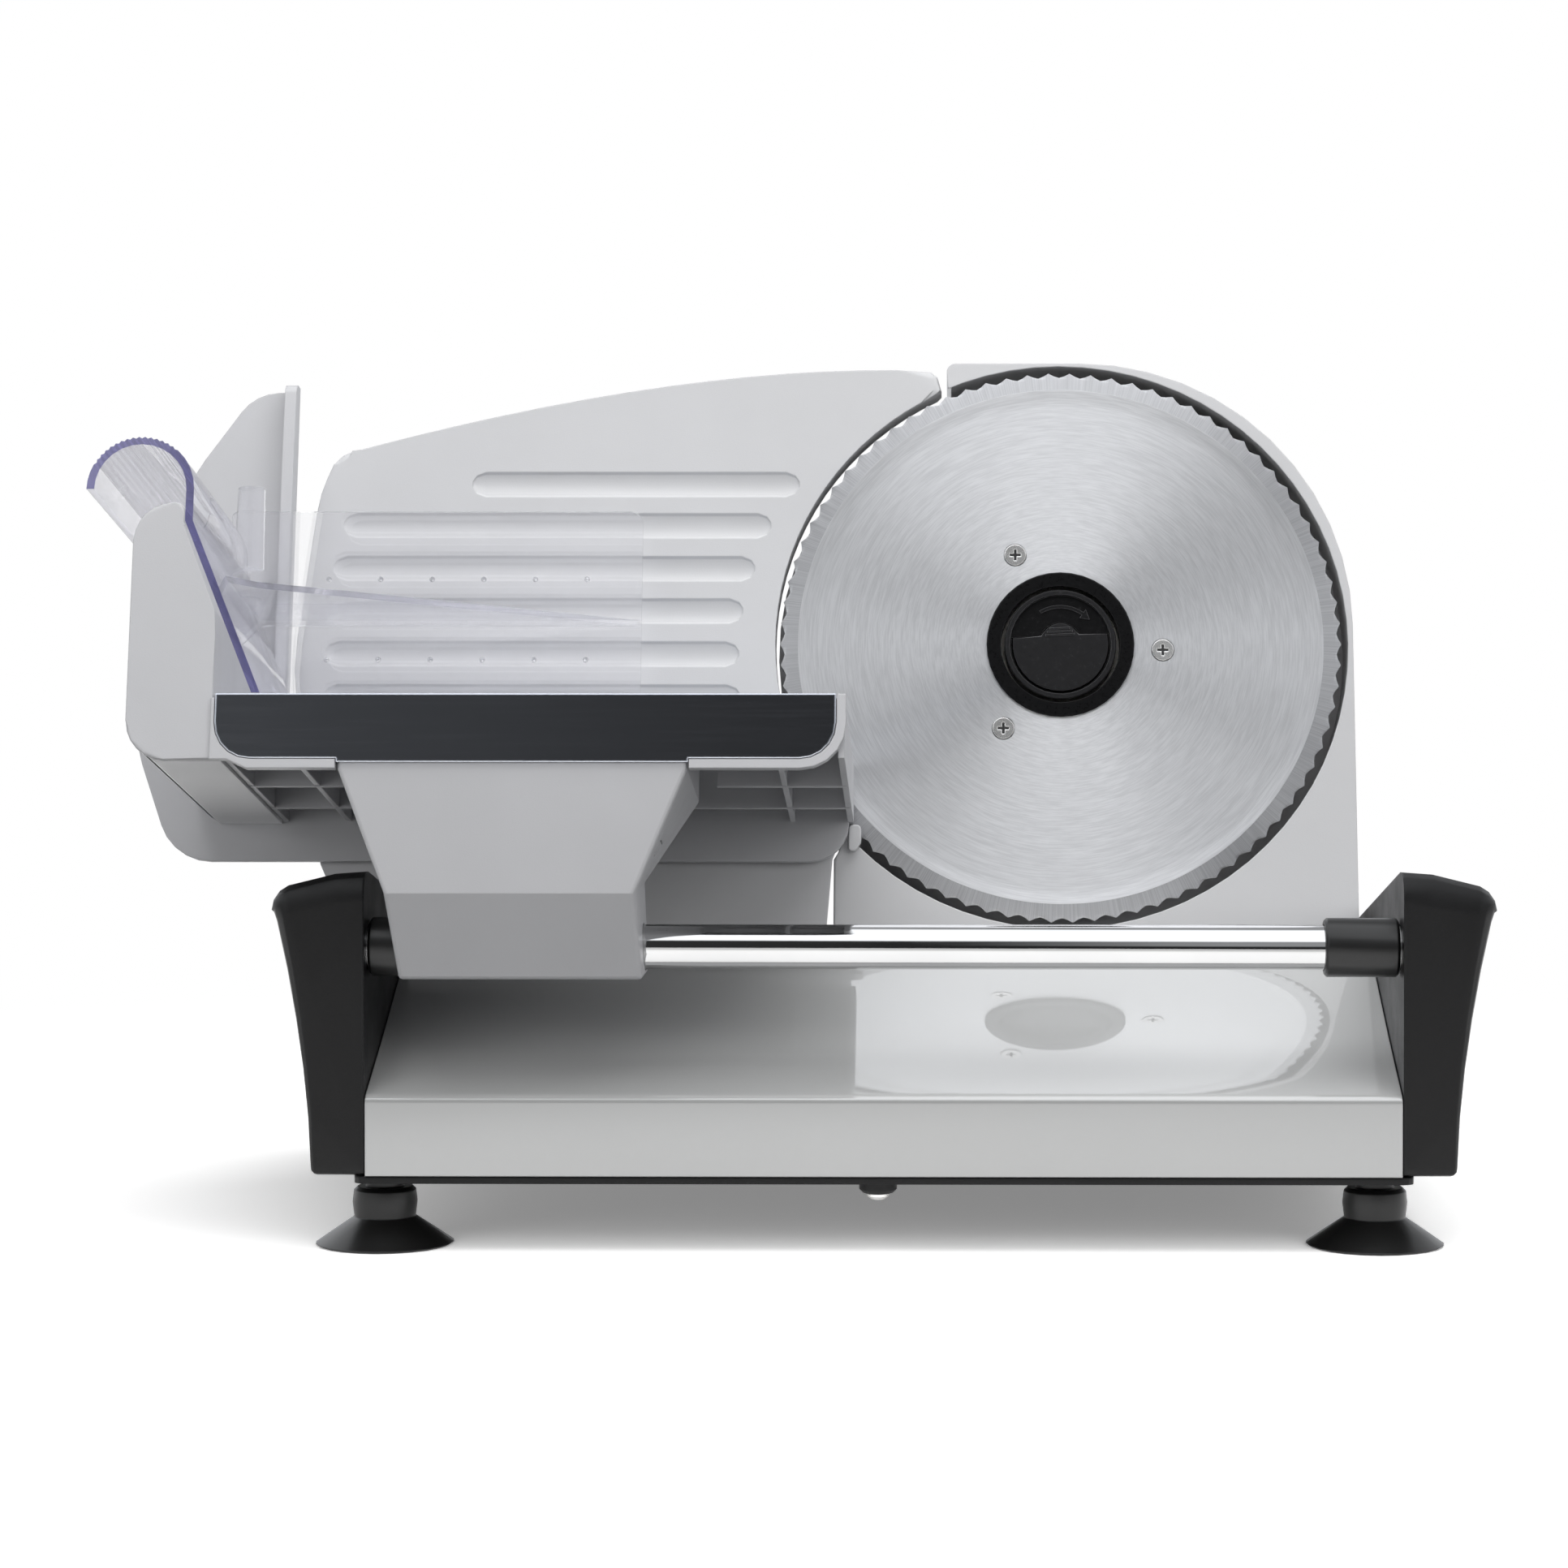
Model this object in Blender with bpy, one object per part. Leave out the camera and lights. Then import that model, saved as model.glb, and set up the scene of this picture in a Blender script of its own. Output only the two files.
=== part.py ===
"""Electric food slicer with a 190 mm toothed blade, a sliding carriage and a clear food pusher.

Metres, +Z up, front towards -Y, right towards +X. The blade, the housing, the thickness plate and the
carriage lean back together: they are modelled in the leaning frame, whose origin is level with the blade's
centre, whose Y runs back from the blade's face and whose Z runs up along it.
"""

import math

import bmesh
import bpy
from mathutils import Matrix, Vector

# Clearances
SEAT_GAP = 0.0003
RUNNING_GAP = 0.0005
OVERLAP = 0.001

# Middle of the overall box, moved to the origin
MIDDLE_X = -0.0014875
MIDDLE_Y = -0.0056334

# Leaning frame
LEAN = math.radians(13)
FRAME_Y = 0.013
FRAME_Z = 0.1865

# Base
BASE_LEFT = -0.130
BASE_FRONT = -0.110
BASE_BACK = 0.105
BASE_BOTTOM = 0.024
BASE_FRONT_TOP = 0.0495
BASE_WALL = 0.002
BASE_SAG = 0.0012
BASE_BEND = 0.003
DECK_BELOW_BLADE = 0.009
DECK_FRONT_Y = -0.0015
PLATE_THICKNESS = 0.0022
PLATE_INSET = 0.001
PLATE_UNDER_CAP = 0.004
FLOOR_CORNER = 0.004
BOSS_LEFT_OF_MIDDLE = 0.0017
BOSS_BACK = 0.008
BOSS_RADIUS = 0.0059
BOSS_SOFT = 0.0011
BOSS_DROP = 0.0034
FLOOR_SCREW_RADIUS = 0.0037
FLOOR_SCREW_DROP = 0.0021

# Feet
FOOT_CUP_RADIUS = 0.0217
FOOT_COLLAR_RADIUS = 0.0102
FOOT_NECK_RADIUS = 0.006
FOOT_CUP_TOP = 0.0088
FOOT_COLLAR_TOP = 0.0182
FOOT_HOLLOW = 0.0035
FOOT_HOLLOW_RADIUS = 0.012
FOOT_RIM_WIDTH = 0.002
FOOT_RIM_SOFT = 0.001
FOOT_WAIST_RADIUS = 0.0165
FOOT_WAIST_TOP = 0.0042
FOOT_COLLAR_SOFT = 0.0016
FOOT_FROM_LEFT = 0.0035
FOOT_FROM_RIGHT = 0.0065
FOOT_FRONT_Y = -0.090
FOOT_BACK_Y = 0.086

# End caps
CAP_TOP_WIDTH = 0.030
CAP_BOTTOM_WIDTH = 0.0168
CAP_INNER_TOP = 0.1197
CAP_OUTER_DROP = 0.0065
CAP_BACK_TOP = 0.0773
CAP_FLARE = 1.7
CAP_BOTTOM_CORNER = 0.003
CAP_TOP_CORNER = 0.011
CAP_LOW_ROUND = 0.002
CAP_HIGH_ROUND = 0.0055
CAP_BORE_DEPTH = 0.009
CAP_CLEARANCE = 0.0033
CAP_INSET_STEP = 0.001

# Rod
ROD_RADIUS = 0.007
ROD_Y = -0.098
ROD_Z = 0.094
BUFFER_RADIUS = 0.0092
BUFFER_LENGTH = 0.023
BUFFER_SOFT = 0.0008

# Blade
BLADE_X = 0.0883
BLADE_RADIUS = 0.095
BLADE_TEETH = 82
TOOTH_DEPTH = 0.0016
BLADE_RIDGE_RADIUS = 0.0888
BLADE_DISH_RADIUS = 0.0835
BLADE_DISH = 0.002
BLADE_THICKNESS = 0.0012
BLADE_BEVEL = 0.0011
BLADE_EDGE = 0.0003
BLADE_RIDGE_FALL = 0.3
BLADE_BACK_STEP = 0.002
TOOTH_FOOT_GAP = 0.0004
BLADE_HOLE_RADIUS = 0.022
BLADE_SCREW_CIRCLE = 0.0347
BLADE_SCREW_ANGLES = (116.0, -3.0, 236.0)
SCREW_HEAD_RADIUS = 0.0037
SCREW_SHANK_RADIUS = 0.0018
SCREW_LENGTH = 0.007
SCREW_HEAD_RIM = 0.0003
SCREW_SINK = 0.0002
SCREW_CROSS_REACH = 0.0019
SCREW_CROSS_WIDTH = 0.00045
SCREW_CROSS_DEPTH = 0.0007

# Hub
HUB_RADIUS = 0.025
HUB_SLEEVE_RADIUS = 0.0214
HUB_INNER_RADIUS = 0.0202
HUB_PROUD = 0.0009
LOCK_RADIUS = 0.0189
LOCK_DEPTH = 0.0085
LOCK_STEM_RADIUS = 0.006
LOCK_STEM_LENGTH = 0.0065
LOCK_FACE_SINK = 0.0016
LOCK_REST_ANGLE = 2.7
LOCK_SOFT = 0.0004
LOCK_BACK_GAP = 0.0012
TAB_POCKET_RIM = 0.001
TAB_RADIUS = 0.0162
TAB_TOP = 0.0028
TAB_BUMP_RADIUS = 0.0066
TAB_BUMP_TOP = 0.0073
TAB_THICKNESS = 0.0022
TAB_TRAVEL = 0.0012
TAB_RIDGES = (0.0032, 0.0043, 0.0054)
TAB_RIDGE_HEIGHT = 0.0003
TAB_RIDGE_INSET = 0.0012
TAB_SOFT = 0.0003
ARROW_RADIUS = 0.0132
ARROW_HEIGHT = 0.0006
ARROW_WIDTH = 0.001
ARROW_HEAD_WIDTH = 0.0036
ARROW_TAIL_ANGLE = 118
ARROW_NECK_ANGLE = 52
ARROW_TIP_ANGLE = 39
SPRING_RADIUS = 0.0027
SPRING_WIRE = 0.00035
SPRING_LENGTH = 0.0030
SPRING_TURNS = 3
SPRING_Z = -0.0065

# Gears
GEAR_TEETH = 48
PINION_TEETH = 9
GEAR_MODULE = 0.0020
GEAR_FLANGE_RADIUS = 0.042
GEAR_FLANGE_THICKNESS = 0.003
GEAR_WIDTH = 0.009
WHEEL_TEETH = 24
WHEEL_PITCH_RADIUS = 0.020
WHEEL_WIDTH = 0.008
WORM_PITCH_RADIUS = 0.006
WORM_LENGTH = 0.022
SPINDLE_RADIUS = 0.009
SPINDLE_BORE_RADIUS = 0.0064
SPINDLE_FLANGE_RADIUS = 0.0145
SPINDLE_FLANGE_THICKNESS = 0.003
SPINDLE_SOFT = 0.0006
IDLER_RADIUS = 0.004
IDLER_BEHIND_WHEEL = 0.0085
WHEEL_TOOTH_DEPTH = 0.0018
WORM_ROOT = 0.0014
WORM_CREST = 0.0009

# Housing
HOUSING_SIDE_WALL = 0.0017
HOUSING_TOP_WALL = 0.0011
HOUSING_CORNER_EASE = 0.0052
HOUSING_TIP_LEFT = 0.0395
HOUSING_TIP_REACH = 0.0028
HOUSING_TIP_SOFT = 0.003
HOUSING_ARC_GAP = 0.001
HOUSING_WALL = 0.0024
HOUSING_DEPTH = 0.062
HOUSING_SOFT = 0.0012
HOUSING_FOOT_CORNER = 0.003
RECESS_CLEARANCE = 0.0022
RECESS_DEPTH = 0.019
RECESS_FLOOR = 0.0025
FINGER_TAB_WIDTH = 0.0042
FINGER_TAB_HEIGHT = 0.0089
FINGER_TAB_FOOT = 0.0029
FINGER_TAB_PROUD = 0.0029
FINGER_TAB_SHEET = 0.0016
FINGER_TAB_IN = 0.0050
FINGER_TAB_UP = 0.0020
COVER_DEPTH = 0.011
COVER_SOFT = 0.003
COVER_POST_RADIUS = 0.005
BULGE_LEFT = 0.030
BULGE_INSET = 0.0052
BULGE_FOOT_CORNER = 0.004
BULGE_SOFT = 0.006
BULGE_TOP = 0.008
BULGE_BACK = 0.106
BULGE_CORNER = 0.012
VENT_COUNT = 9
VENT_WIDTH = 0.0035
VENT_PITCH = 0.008
VENT_LOW = -0.060
VENT_HIGH = -0.020
COVER_SCREW_RADIUS = 0.0035
COVER_SCREW_HEAD = 0.002
COVER_SCREW_SHANK = 0.0013
COVER_SCREW_REACH = 0.009
COVER_SCREW_PILOT = 0.0015
COVER_SCREW_HOLE = 0.0017
COVER_SCREW_RISE = 0.014
COVER_SCREW_LEFT_IN = 0.0125
COVER_SCREW_RIGHT_IN = 0.0112
COVER_SCREW_HIGH = ((0.0697, 0.056), (-0.0573, 0.060))

# Motor
MOTOR_Y = 0.056
STATOR_LEFT = 0.1115
STATOR_LENGTH = 0.040
STATOR_SIDE = 0.046
ARMATURE_RADIUS = 0.016
MOTOR_SHAFT_RADIUS = 0.003
MOTOR_SHAFT_LEFT = 0.066
MOTOR_SHAFT_RIGHT = 0.174
FAN_RADIUS = 0.021
FAN_WIDTH = 0.008
FAN_BLADES = 9
FAN_X = 0.1545
BEARING_RADIUS = 0.0065
BEARING_LENGTH = 0.006
BEARING_INSET = 0.001
STATOR_CORNER = 0.006
FAN_HUB_RADIUS = 0.007
FAN_BLADE_SHEET = 0.0012
FAN_BLADE_INSET = 0.0005
BRACKET_SHEET = 0.0025
BRACKET_DROP = 0.027
BRACKET_TOP = -0.0165
EAR_MARGIN = 0.011
PAD_LENGTH = 0.008
PAD_INSET = 0.004
PAD_DROP = 0.016
PAD_RISE = 0.012
BRIDGE_HALF = 0.008
BRIDGE_SHEET = 0.006
BRIDGE_FOOT = 0.005
BRIDGE_GAP = 0.003
BRIDGE_CLEARANCE = 0.0067
BRIDGE_RISE = 0.009

# Thickness plate
GUIDE_LEFT = -0.1715
GUIDE_DECK_GAP = 0.0017
GUIDE_HIP_IN = 0.0163
GUIDE_HIP_UP = 0.0216
GUIDE_BLADE_GAP = 0.0015
GUIDE_ARC_END = 221.8
GUIDE_SLOT = 0.0024
GUIDE_TIP_LEFT = 0.0417
GUIDE_TIP_LEAN = (0.0014, 0.0015)
GUIDE_TIP_END = 0.0023
GUIDE_TIP_RISE = 0.0004
GUIDE_TIP_SOFT = 0.0019
GUIDE_TOP_START = (-0.1500, 0.0677)
GUIDE_TOP_PULL = (-0.0380, 0.0985)
GUIDE_LEFT_SIDE = (
    (-0.1602, -0.0760, 0.030),
    (GUIDE_LEFT, -0.0100, 0.080),
    (-0.1640, 0.0520, 0.040),
    (-0.1580, 0.0665, 0.008),
)
GUIDE_FOOT_INSET = 0.0015
GUIDE_FOOT_CORNER = 0.003
GUIDE_OVER_CAP = -0.0865
GUIDE_CAP_REACH = 0.025
GUIDE_FRONT_Y = -0.001
GUIDE_DEPTH = 0.010
GUIDE_WALL = 0.002
GUIDE_SOFT = 0.002
GROOVE_WIDTH = 0.009
GROOVE_DEPTH = 0.0016
GROOVES = (
    (-0.1120, -0.0005, 0.0552),
    (-0.1555, -0.0100, 0.0407),
    (-0.1585, -0.0154, 0.0257),
    (-0.1600, -0.0193, 0.0110),
    (-0.1605, -0.0205, -0.0039),
    (-0.1605, -0.0199, -0.0188),
)
GUIDE_TRAVEL = 0.015
DRIVE_X = -0.080
KNOB_ABOVE_DECK = 0.036
DRIVE_SCREW_RADIUS = 0.005
DRIVE_END_GAP = 0.001
NUT_RADIUS = 0.0085
NUT_LENGTH = 0.026
NUT_BASE = 0.0025
NUT_BASE_HALF = 0.030
NUT_BASE_DROP = 0.012
NUT_BASE_RISE = 0.034
GUIDE_PIN_RADIUS = 0.004
GUIDE_PIN_SPREAD = 0.021
GUIDE_PIN_RISE = 0.026
GUIDE_PIN_MARGIN = 0.010
GUIDE_PIN_SPARE = 0.0045
GUIDE_BRACKET_THICKNESS = 0.012
GUIDE_BRACKET_HALF = 0.034
GUIDE_BRACKET_TAPER = 0.003
GUIDE_BRACKET_CORNER = 0.006
GUIDE_BRACKET_TOE = 0.010
GUIDE_BRACKET_HEEL = 0.004
GUIDE_BRACKET_FOOT = 0.003
GUIDE_STOP_GAP = 0.002
KNOB_RADIUS = 0.025
KNOB_DEPTH = 0.018
KNOB_FLUTES = 20
KNOB_FLUTE_DEPTH = 0.0012
KNOB_SKIRT_SHARE = 0.45
KNOB_BAR_SHARE = 0.3
KNOB_BORE_SHARE = 0.6
KNOB_BAR_HALF = 0.004
KNOB_BAR_REACH = 0.019
KNOB_BAR_CORNER = 0.0035
KNOB_BAR_SOFT = 0.001
KNOB_TIP_SHARES = (0.0, 0.62)
KNOB_GULLET_SHARES = (0.75, 0.87)

# Carriage
TRAY_LEFT = -0.1740
TRAY_RIGHT = 0.0160
TRAY_TOP = -0.0425
TRAY_FRONT = -0.127
TRAY_BACK = -0.0065
TRAY_SHEET = 0.001
LIP_DROP = 0.0200
LIP_CORNER = 0.011
TAB_LEFT = -0.1365
TAB_RIGHT = -0.0290
LIP_TAB_DROP = 0.0012
RIM = 0.0028
DECK_SHEET = 0.002
RIB_SHEET = 0.0018
RIB_BOTTOM = -0.062
RIB_ROWS = (-0.074, -0.033)
RIB_COLUMNS = (-0.150, -0.0015)
RIB_LEFT_IN = 0.003
RIB_STEP = 0.0003
ARM_ROOM = (0.004, 0.006)
FRONT_STEP = 0.0002
FRONT_RIM_DEPTH = 0.004
RIM_RAMP = (0.004, 0.010)
SIDE_WALL = 0.002
SIDE_STEP = 0.0004
GUARD_FRONT = -0.006
GUARD_BACK = -0.0035
GUARD_BOTTOM = -0.0755
WING_TOP = 0.0865
WING_RIB_RIGHT = -0.1717
WING_RIB_WIDTH = 0.004
WING_RIB_DEPTH = 0.008
WING_TIP = (-0.1865, 0.0860, 0.016)
WING_SIDE = (
    (-0.2068, 0.0570, 0.050),
    (-0.2235, 0.0100, 0.060),
    (-0.2228, -0.0350, 0.050),
)
WING_FOOT = (-0.2085, 0.018)
WING_RIB_SHOULDER = 0.0245
WING_RIB_RISE = 0.0015
WING_RIB_CORNER = 0.004
WING_CORNER = 0.003
GUARD_CORNER = 0.013
GUARD_REACH = 0.0012
FENCE_LEFT = -0.2015
FENCE_TOP = 0.018
FENCE_WALL = 0.002
FENCE_LOW_CORNER = 0.012
FENCE_HIGH_CORNER = 0.0118
FENCE_KNEE = (-0.1754, -0.016, 0.004)
FENCE_STEP_Z = -0.024
FENCE_STEP = 0.0006
FENCE_SOFT = 0.0008
FENCE_KNEE_CORNER = 0.003

# Arm
ARM_WALL = 0.0025
ARM_TOP_Y = -0.1257
ARM_TOP_BACK_Y = -0.064
ARM_CREASE = (-0.128, 0.113)
ARM_CREASE_X = (-0.1217, -0.0452)
ARM_FOOT = (-0.1135, 0.0852)
ARM_FOOT_X = (-0.1190, -0.0438)
ARM_CREASE_BACK_Y = -0.084
ARM_FOOT_BACK_Y = -0.086
ARM_SOFT = 0.0012
ARM_OPEN_REACH = 0.012
ARM_LIP_DROP = 0.003
BUSH_RADIUS = 0.0084
BUSH_LENGTH = 0.012
BUSH_HOUSING = 0.0015
BUSH_END_GAP = 0.0015
WEB_INSET = 0.002
WEB_SHEET = 0.004
WEB_HALF = 0.004
WEB_BACK = 0.012
ARM_SCREW_SIDE = 0.020
ARM_SCREW_BACK = 0.030
ARM_SCREW_HEAD_RADIUS = 0.0035
ARM_SCREW_HEAD = 0.0025
ARM_SCREW_SHANK = 0.0015

# Pusher
ARCH_X = -0.1998
ARCH_Z = 0.022
ARCH_RADIUS = 0.0167
GRIP_START = 152.0
GRIP_END = 48.0
GRIP_FLUTES = 16
GRIP_DEPTH = 0.0005
PUSHER_FOOT_SPREAD = 1.08
PUSHER_SHEET = 0.0024
PUSHER_KNEE_Z = 0.012
PUSHER_FOOT_X = -0.1605
PUSHER_BACK = -0.0203
PUSHER_PLATE_LEFT = -0.190
PUSHER_PLATE_RIGHT = -0.052
PUSHER_PLATE_TOP = 0.0405
PUSHER_PLATE_SHEET = 0.002
PUSHER_SHELF_Z = 0.002
PUSHER_SHELF_DEPTH = 0.070
PUSHER_SHELF_NOSE = 0.010
PUSHER_SHELF_EASE = 0.86
PUSHER_OVER_FENCE = 0.002
PUSHER_CORNER = 0.004
POINT_RADIUS = 0.0013
POINT_HEIGHT = 0.0018
POINT_TIP_RADIUS = 0.0003
POINT_FIRST_X = -0.157
POINT_PITCH = 0.0173
POINTS_PER_ROW = 6
POINT_ROWS = (0.0175, -0.0100)
COLUMN_RADIUS = 0.0052
COLUMN_X = -0.1835
COLUMN_TAPER = 0.0006
COLUMN_TOP = 0.048

# Switch and cord gland
SWITCH_X = 0.040
SWITCH_Z = 0.036
SWITCH_WIDTH = 0.015
SWITCH_HEIGHT = 0.021
SWITCH_RIM = 0.0025
SWITCH_RIM_PROUD = 0.0018
SWITCH_RIM_CORNER = 0.002
SWITCH_RIM_SOFT = 0.0006
SWITCH_WALL = 0.0012
SWITCH_DEPTH = 0.012
ROCKER_SINK = 0.004
ROCKER_BACK = 0.003
ROCKER_EDGE = 0.005
ROCKER_CREST = 0.0062
ROCKER_WAIST = 0.0056
ROCKER_TILT = math.radians(9)
GLAND_X = 0.160
GLAND_ABOVE_DECK = 0.018
GLAND_RADIUS = 0.0065
GLAND_LENGTH = 0.014
GLAND_BORE_RADIUS = 0.0036
GLAND_INSIDE = 0.006
GLAND_COLLAR = 0.002
GLAND_TAPER = 0.0016

# Values that follow from the sizes above
RECESS_RADIUS = BLADE_RADIUS + RECESS_CLEARANCE
HOUSING_TOP = RECESS_RADIUS + HOUSING_TOP_WALL
HOUSING_RIGHT = BLADE_X + RECESS_RADIUS + HOUSING_SIDE_WALL
HOUSING_CORNER = RECESS_RADIUS - HOUSING_CORNER_EASE
HOUSING_LEFT_RADIUS = BLADE_RADIUS + HOUSING_ARC_GAP
BASE_RIGHT = HOUSING_RIGHT + CAP_CLEARANCE
DECK_Z = -(BLADE_RADIUS + DECK_BELOW_BLADE)
FOOT_LEFT_X = BASE_LEFT + FOOT_FROM_LEFT
FOOT_RIGHT_X = BASE_RIGHT - FOOT_FROM_RIGHT
GUIDE_ARC_RADIUS = BLADE_RADIUS + GUIDE_BLADE_GAP
GUIDE_RIGHT = BLADE_X - BLADE_RADIUS + GUIDE_HIP_IN
GUIDE_BOTTOM = DECK_Z + GUIDE_DECK_GAP
GUIDE_HIP_Z = GUIDE_HIP_UP - BLADE_RADIUS
GUIDE_TIP_X = BLADE_X - GUIDE_TIP_LEFT
GUIDE_TIP_TOP = BLADE_RADIUS + GUIDE_TIP_RISE
HOUSING_LEFT = GUIDE_RIGHT + GUIDE_SLOT
BULGE_RIGHT = HOUSING_RIGHT - BULGE_INSET
GLAND_Z = DECK_Z + GLAND_ABOVE_DECK
DRIVE_Z = DECK_Z + KNOB_ABOVE_DECK
GEAR_PITCH_RADIUS = GEAR_TEETH * GEAR_MODULE / 2
PINION_PITCH_RADIUS = PINION_TEETH * GEAR_MODULE / 2
IDLER_Z = -(GEAR_PITCH_RADIUS + PINION_PITCH_RADIUS)
MOTOR_Z = IDLER_Z + WHEEL_PITCH_RADIUS + WORM_PITCH_RADIUS
BLADE_BACK = BLADE_DISH + BLADE_THICKNESS
GEAR_FRONT = BLADE_BACK + SEAT_GAP
GEAR_RIM_FRONT = GEAR_FRONT + GEAR_FLANGE_THICKNESS
GEAR_BACK = GEAR_RIM_FRONT + GEAR_WIDTH
HUB_FACE = BLADE_DISH - SEAT_GAP - HUB_PROUD
LOCK_FACE = HUB_FACE
FLOOR_BACK = RECESS_DEPTH + RECESS_FLOOR
COVER_FRONT = HOUSING_DEPTH + SEAT_GAP
COVER_BACK = COVER_FRONT + COVER_DEPTH
TRAY_UNDER = TRAY_TOP - TRAY_SHEET
DECK_TOP = TRAY_UNDER - SEAT_GAP
DECK_UNDER = DECK_TOP - DECK_SHEET
LIP_BOTTOM = TRAY_TOP - LIP_DROP
ARCH_RIGHT = ARCH_X + ARCH_RADIUS

MATERIALS = {
    "grey_paint": ((0.56, 0.57, 0.58), 0.32, 0.0),
    "grey_plastic": ((0.52, 0.53, 0.54), 0.45, 0.0),
    "black_plastic": ((0.018, 0.018, 0.019), 0.42, 0.0),
    "black_rubber": ((0.012, 0.012, 0.012), 0.55, 0.0),
    "chrome": ((0.80, 0.80, 0.80), 0.06, 1.0),
    "brushed_steel": ((0.66, 0.66, 0.67), 0.28, 1.0),
    "polished_steel": ((0.55, 0.55, 0.56), 0.10, 1.0),
    "zinc": ((0.60, 0.60, 0.58), 0.30, 1.0),
    "white_nylon": ((0.80, 0.80, 0.77), 0.50, 0.0),
    "laminations": ((0.25, 0.25, 0.26), 0.45, 0.8),
    "copper": ((0.70, 0.35, 0.18), 0.35, 0.9),
    "brass": ((0.72, 0.56, 0.26), 0.30, 1.0),
    "clear_plastic": ((0.86, 0.86, 0.93), 0.06, 0.0),
}


def clear_scene():
    for obj in list(bpy.data.objects):
        bpy.data.objects.remove(obj, do_unlink=True)


def material(name):
    """The Principled material of that name, made on first use."""
    found = bpy.data.materials.get(name)
    if found:
        return found
    colour, roughness, metallic = MATERIALS[name]
    made = bpy.data.materials.new(name)
    made.use_nodes = True
    shader = made.node_tree.nodes["Principled BSDF"]
    shader.inputs["Base Color"].default_value = (*colour, 1.0)
    shader.inputs["Roughness"].default_value = roughness
    shader.inputs["Metallic"].default_value = metallic
    if name == "clear_plastic":
        shader.inputs["Transmission Weight"].default_value = 1.0
    return made


def empty(name, parent=None, at=(0, 0, 0), rotation=(0, 0, 0)):
    obj = bpy.data.objects.new(name, None)
    bpy.context.collection.objects.link(obj)
    obj.parent = parent
    obj.location = at
    obj.rotation_euler = rotation
    return obj


def node(name, shape, look, parent=None, at=(0, 0, 0)):
    """Turns a bmesh into an object of that name."""
    bmesh.ops.recalc_face_normals(shape, faces=shape.faces)
    mesh = bpy.data.meshes.new(name)
    shape.to_mesh(mesh)
    shape.free()
    mesh.shade_smooth()
    mesh.set_sharp_from_angle(angle=math.radians(35))
    mesh.materials.append(material(look))
    obj = bpy.data.objects.new(name, mesh)
    bpy.context.collection.objects.link(obj)
    obj.parent = parent or bpy.data.objects["placement"]
    obj.location = at
    return obj


def helper(shape, beside):
    """A hidden operand for a Boolean, in the frame of the object beside it."""
    obj = node("operand", shape, "grey_plastic", beside.parent, beside.location)
    obj.hide_render = True
    obj.display_type = "WIRE"
    return obj


def combine(obj, shape, operation):
    """Adds a Boolean with that shape, given in the object's own frame, and returns its operand."""
    operand = helper(shape, obj)
    boolean = obj.modifiers.new(operation.lower(), "BOOLEAN")
    boolean.operation = operation
    boolean.solver = "EXACT"
    boolean.object = operand
    return operand


def cut(obj, *shapes):
    return [combine(obj, shape, "DIFFERENCE") for shape in shapes]


def fuse(obj, *shapes):
    return [combine(obj, shape, "UNION") for shape in shapes]


def place(axis, a, b, along):
    """A point from two coordinates in a plane and one along that plane's axis."""
    return {"X": (along, a, b), "Y": (a, along, b), "Z": (a, b, along)}[axis]


def loft(sections, folded=False):
    """A closed solid through rings of equally many points, capped at both ends.

    A folded last ring is closed by a strip of faces between its two halves, for an end that isn't flat.
    """
    shape = bmesh.new()
    rings = [[shape.verts.new(point) for point in section] for section in sections]
    count = len(rings[0])
    for first, second in zip(rings, rings[1:]):
        for i in range(count):
            j = (i + 1) % count
            shape.faces.new((first[i], first[j], second[j], second[i]))
    shape.faces.new(rings[0])
    last = rings[-1]
    if not folded:
        shape.faces.new(last)
        return shape
    for i in range(count // 2 - 1):
        shape.faces.new((last[i], last[i + 1], last[count - 2 - i], last[count - 1 - i]))
    return shape


def prism(outline, low, high, axis="Y", soft=0.0, soft_end="low"):
    """An outline extruded along an axis, with one end's edges rounded where soft is given."""
    shape = loft([[place(axis, a, b, along) for a, b in outline] for along in (low, high)])
    if soft:
        index = "XYZ".index(axis)
        end = low if soft_end == "low" else high
        edges = [e for e in shape.edges if all(abs(v.co[index] - end) < 1e-7 for v in e.verts)]
        bmesh.ops.bevel(shape, geom=edges, offset=soft, segments=2, profile=0.5, affect="EDGES")
    return shape


def box(low, high):
    x0, y0, z0 = low
    x1, y1, z1 = high
    return prism([(x0, z0), (x1, z0), (x1, z1), (x0, z1)], y0, y1)


def joined(shapes):
    """Several separate shapes as one bmesh."""
    whole = bmesh.new()
    for shape in shapes:
        mesh = bpy.data.meshes.new("joined")
        bmesh.ops.recalc_face_normals(shape, faces=shape.faces)
        shape.to_mesh(mesh)
        shape.free()
        whole.from_mesh(mesh)
        bpy.data.meshes.remove(mesh)
    return whole


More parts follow.
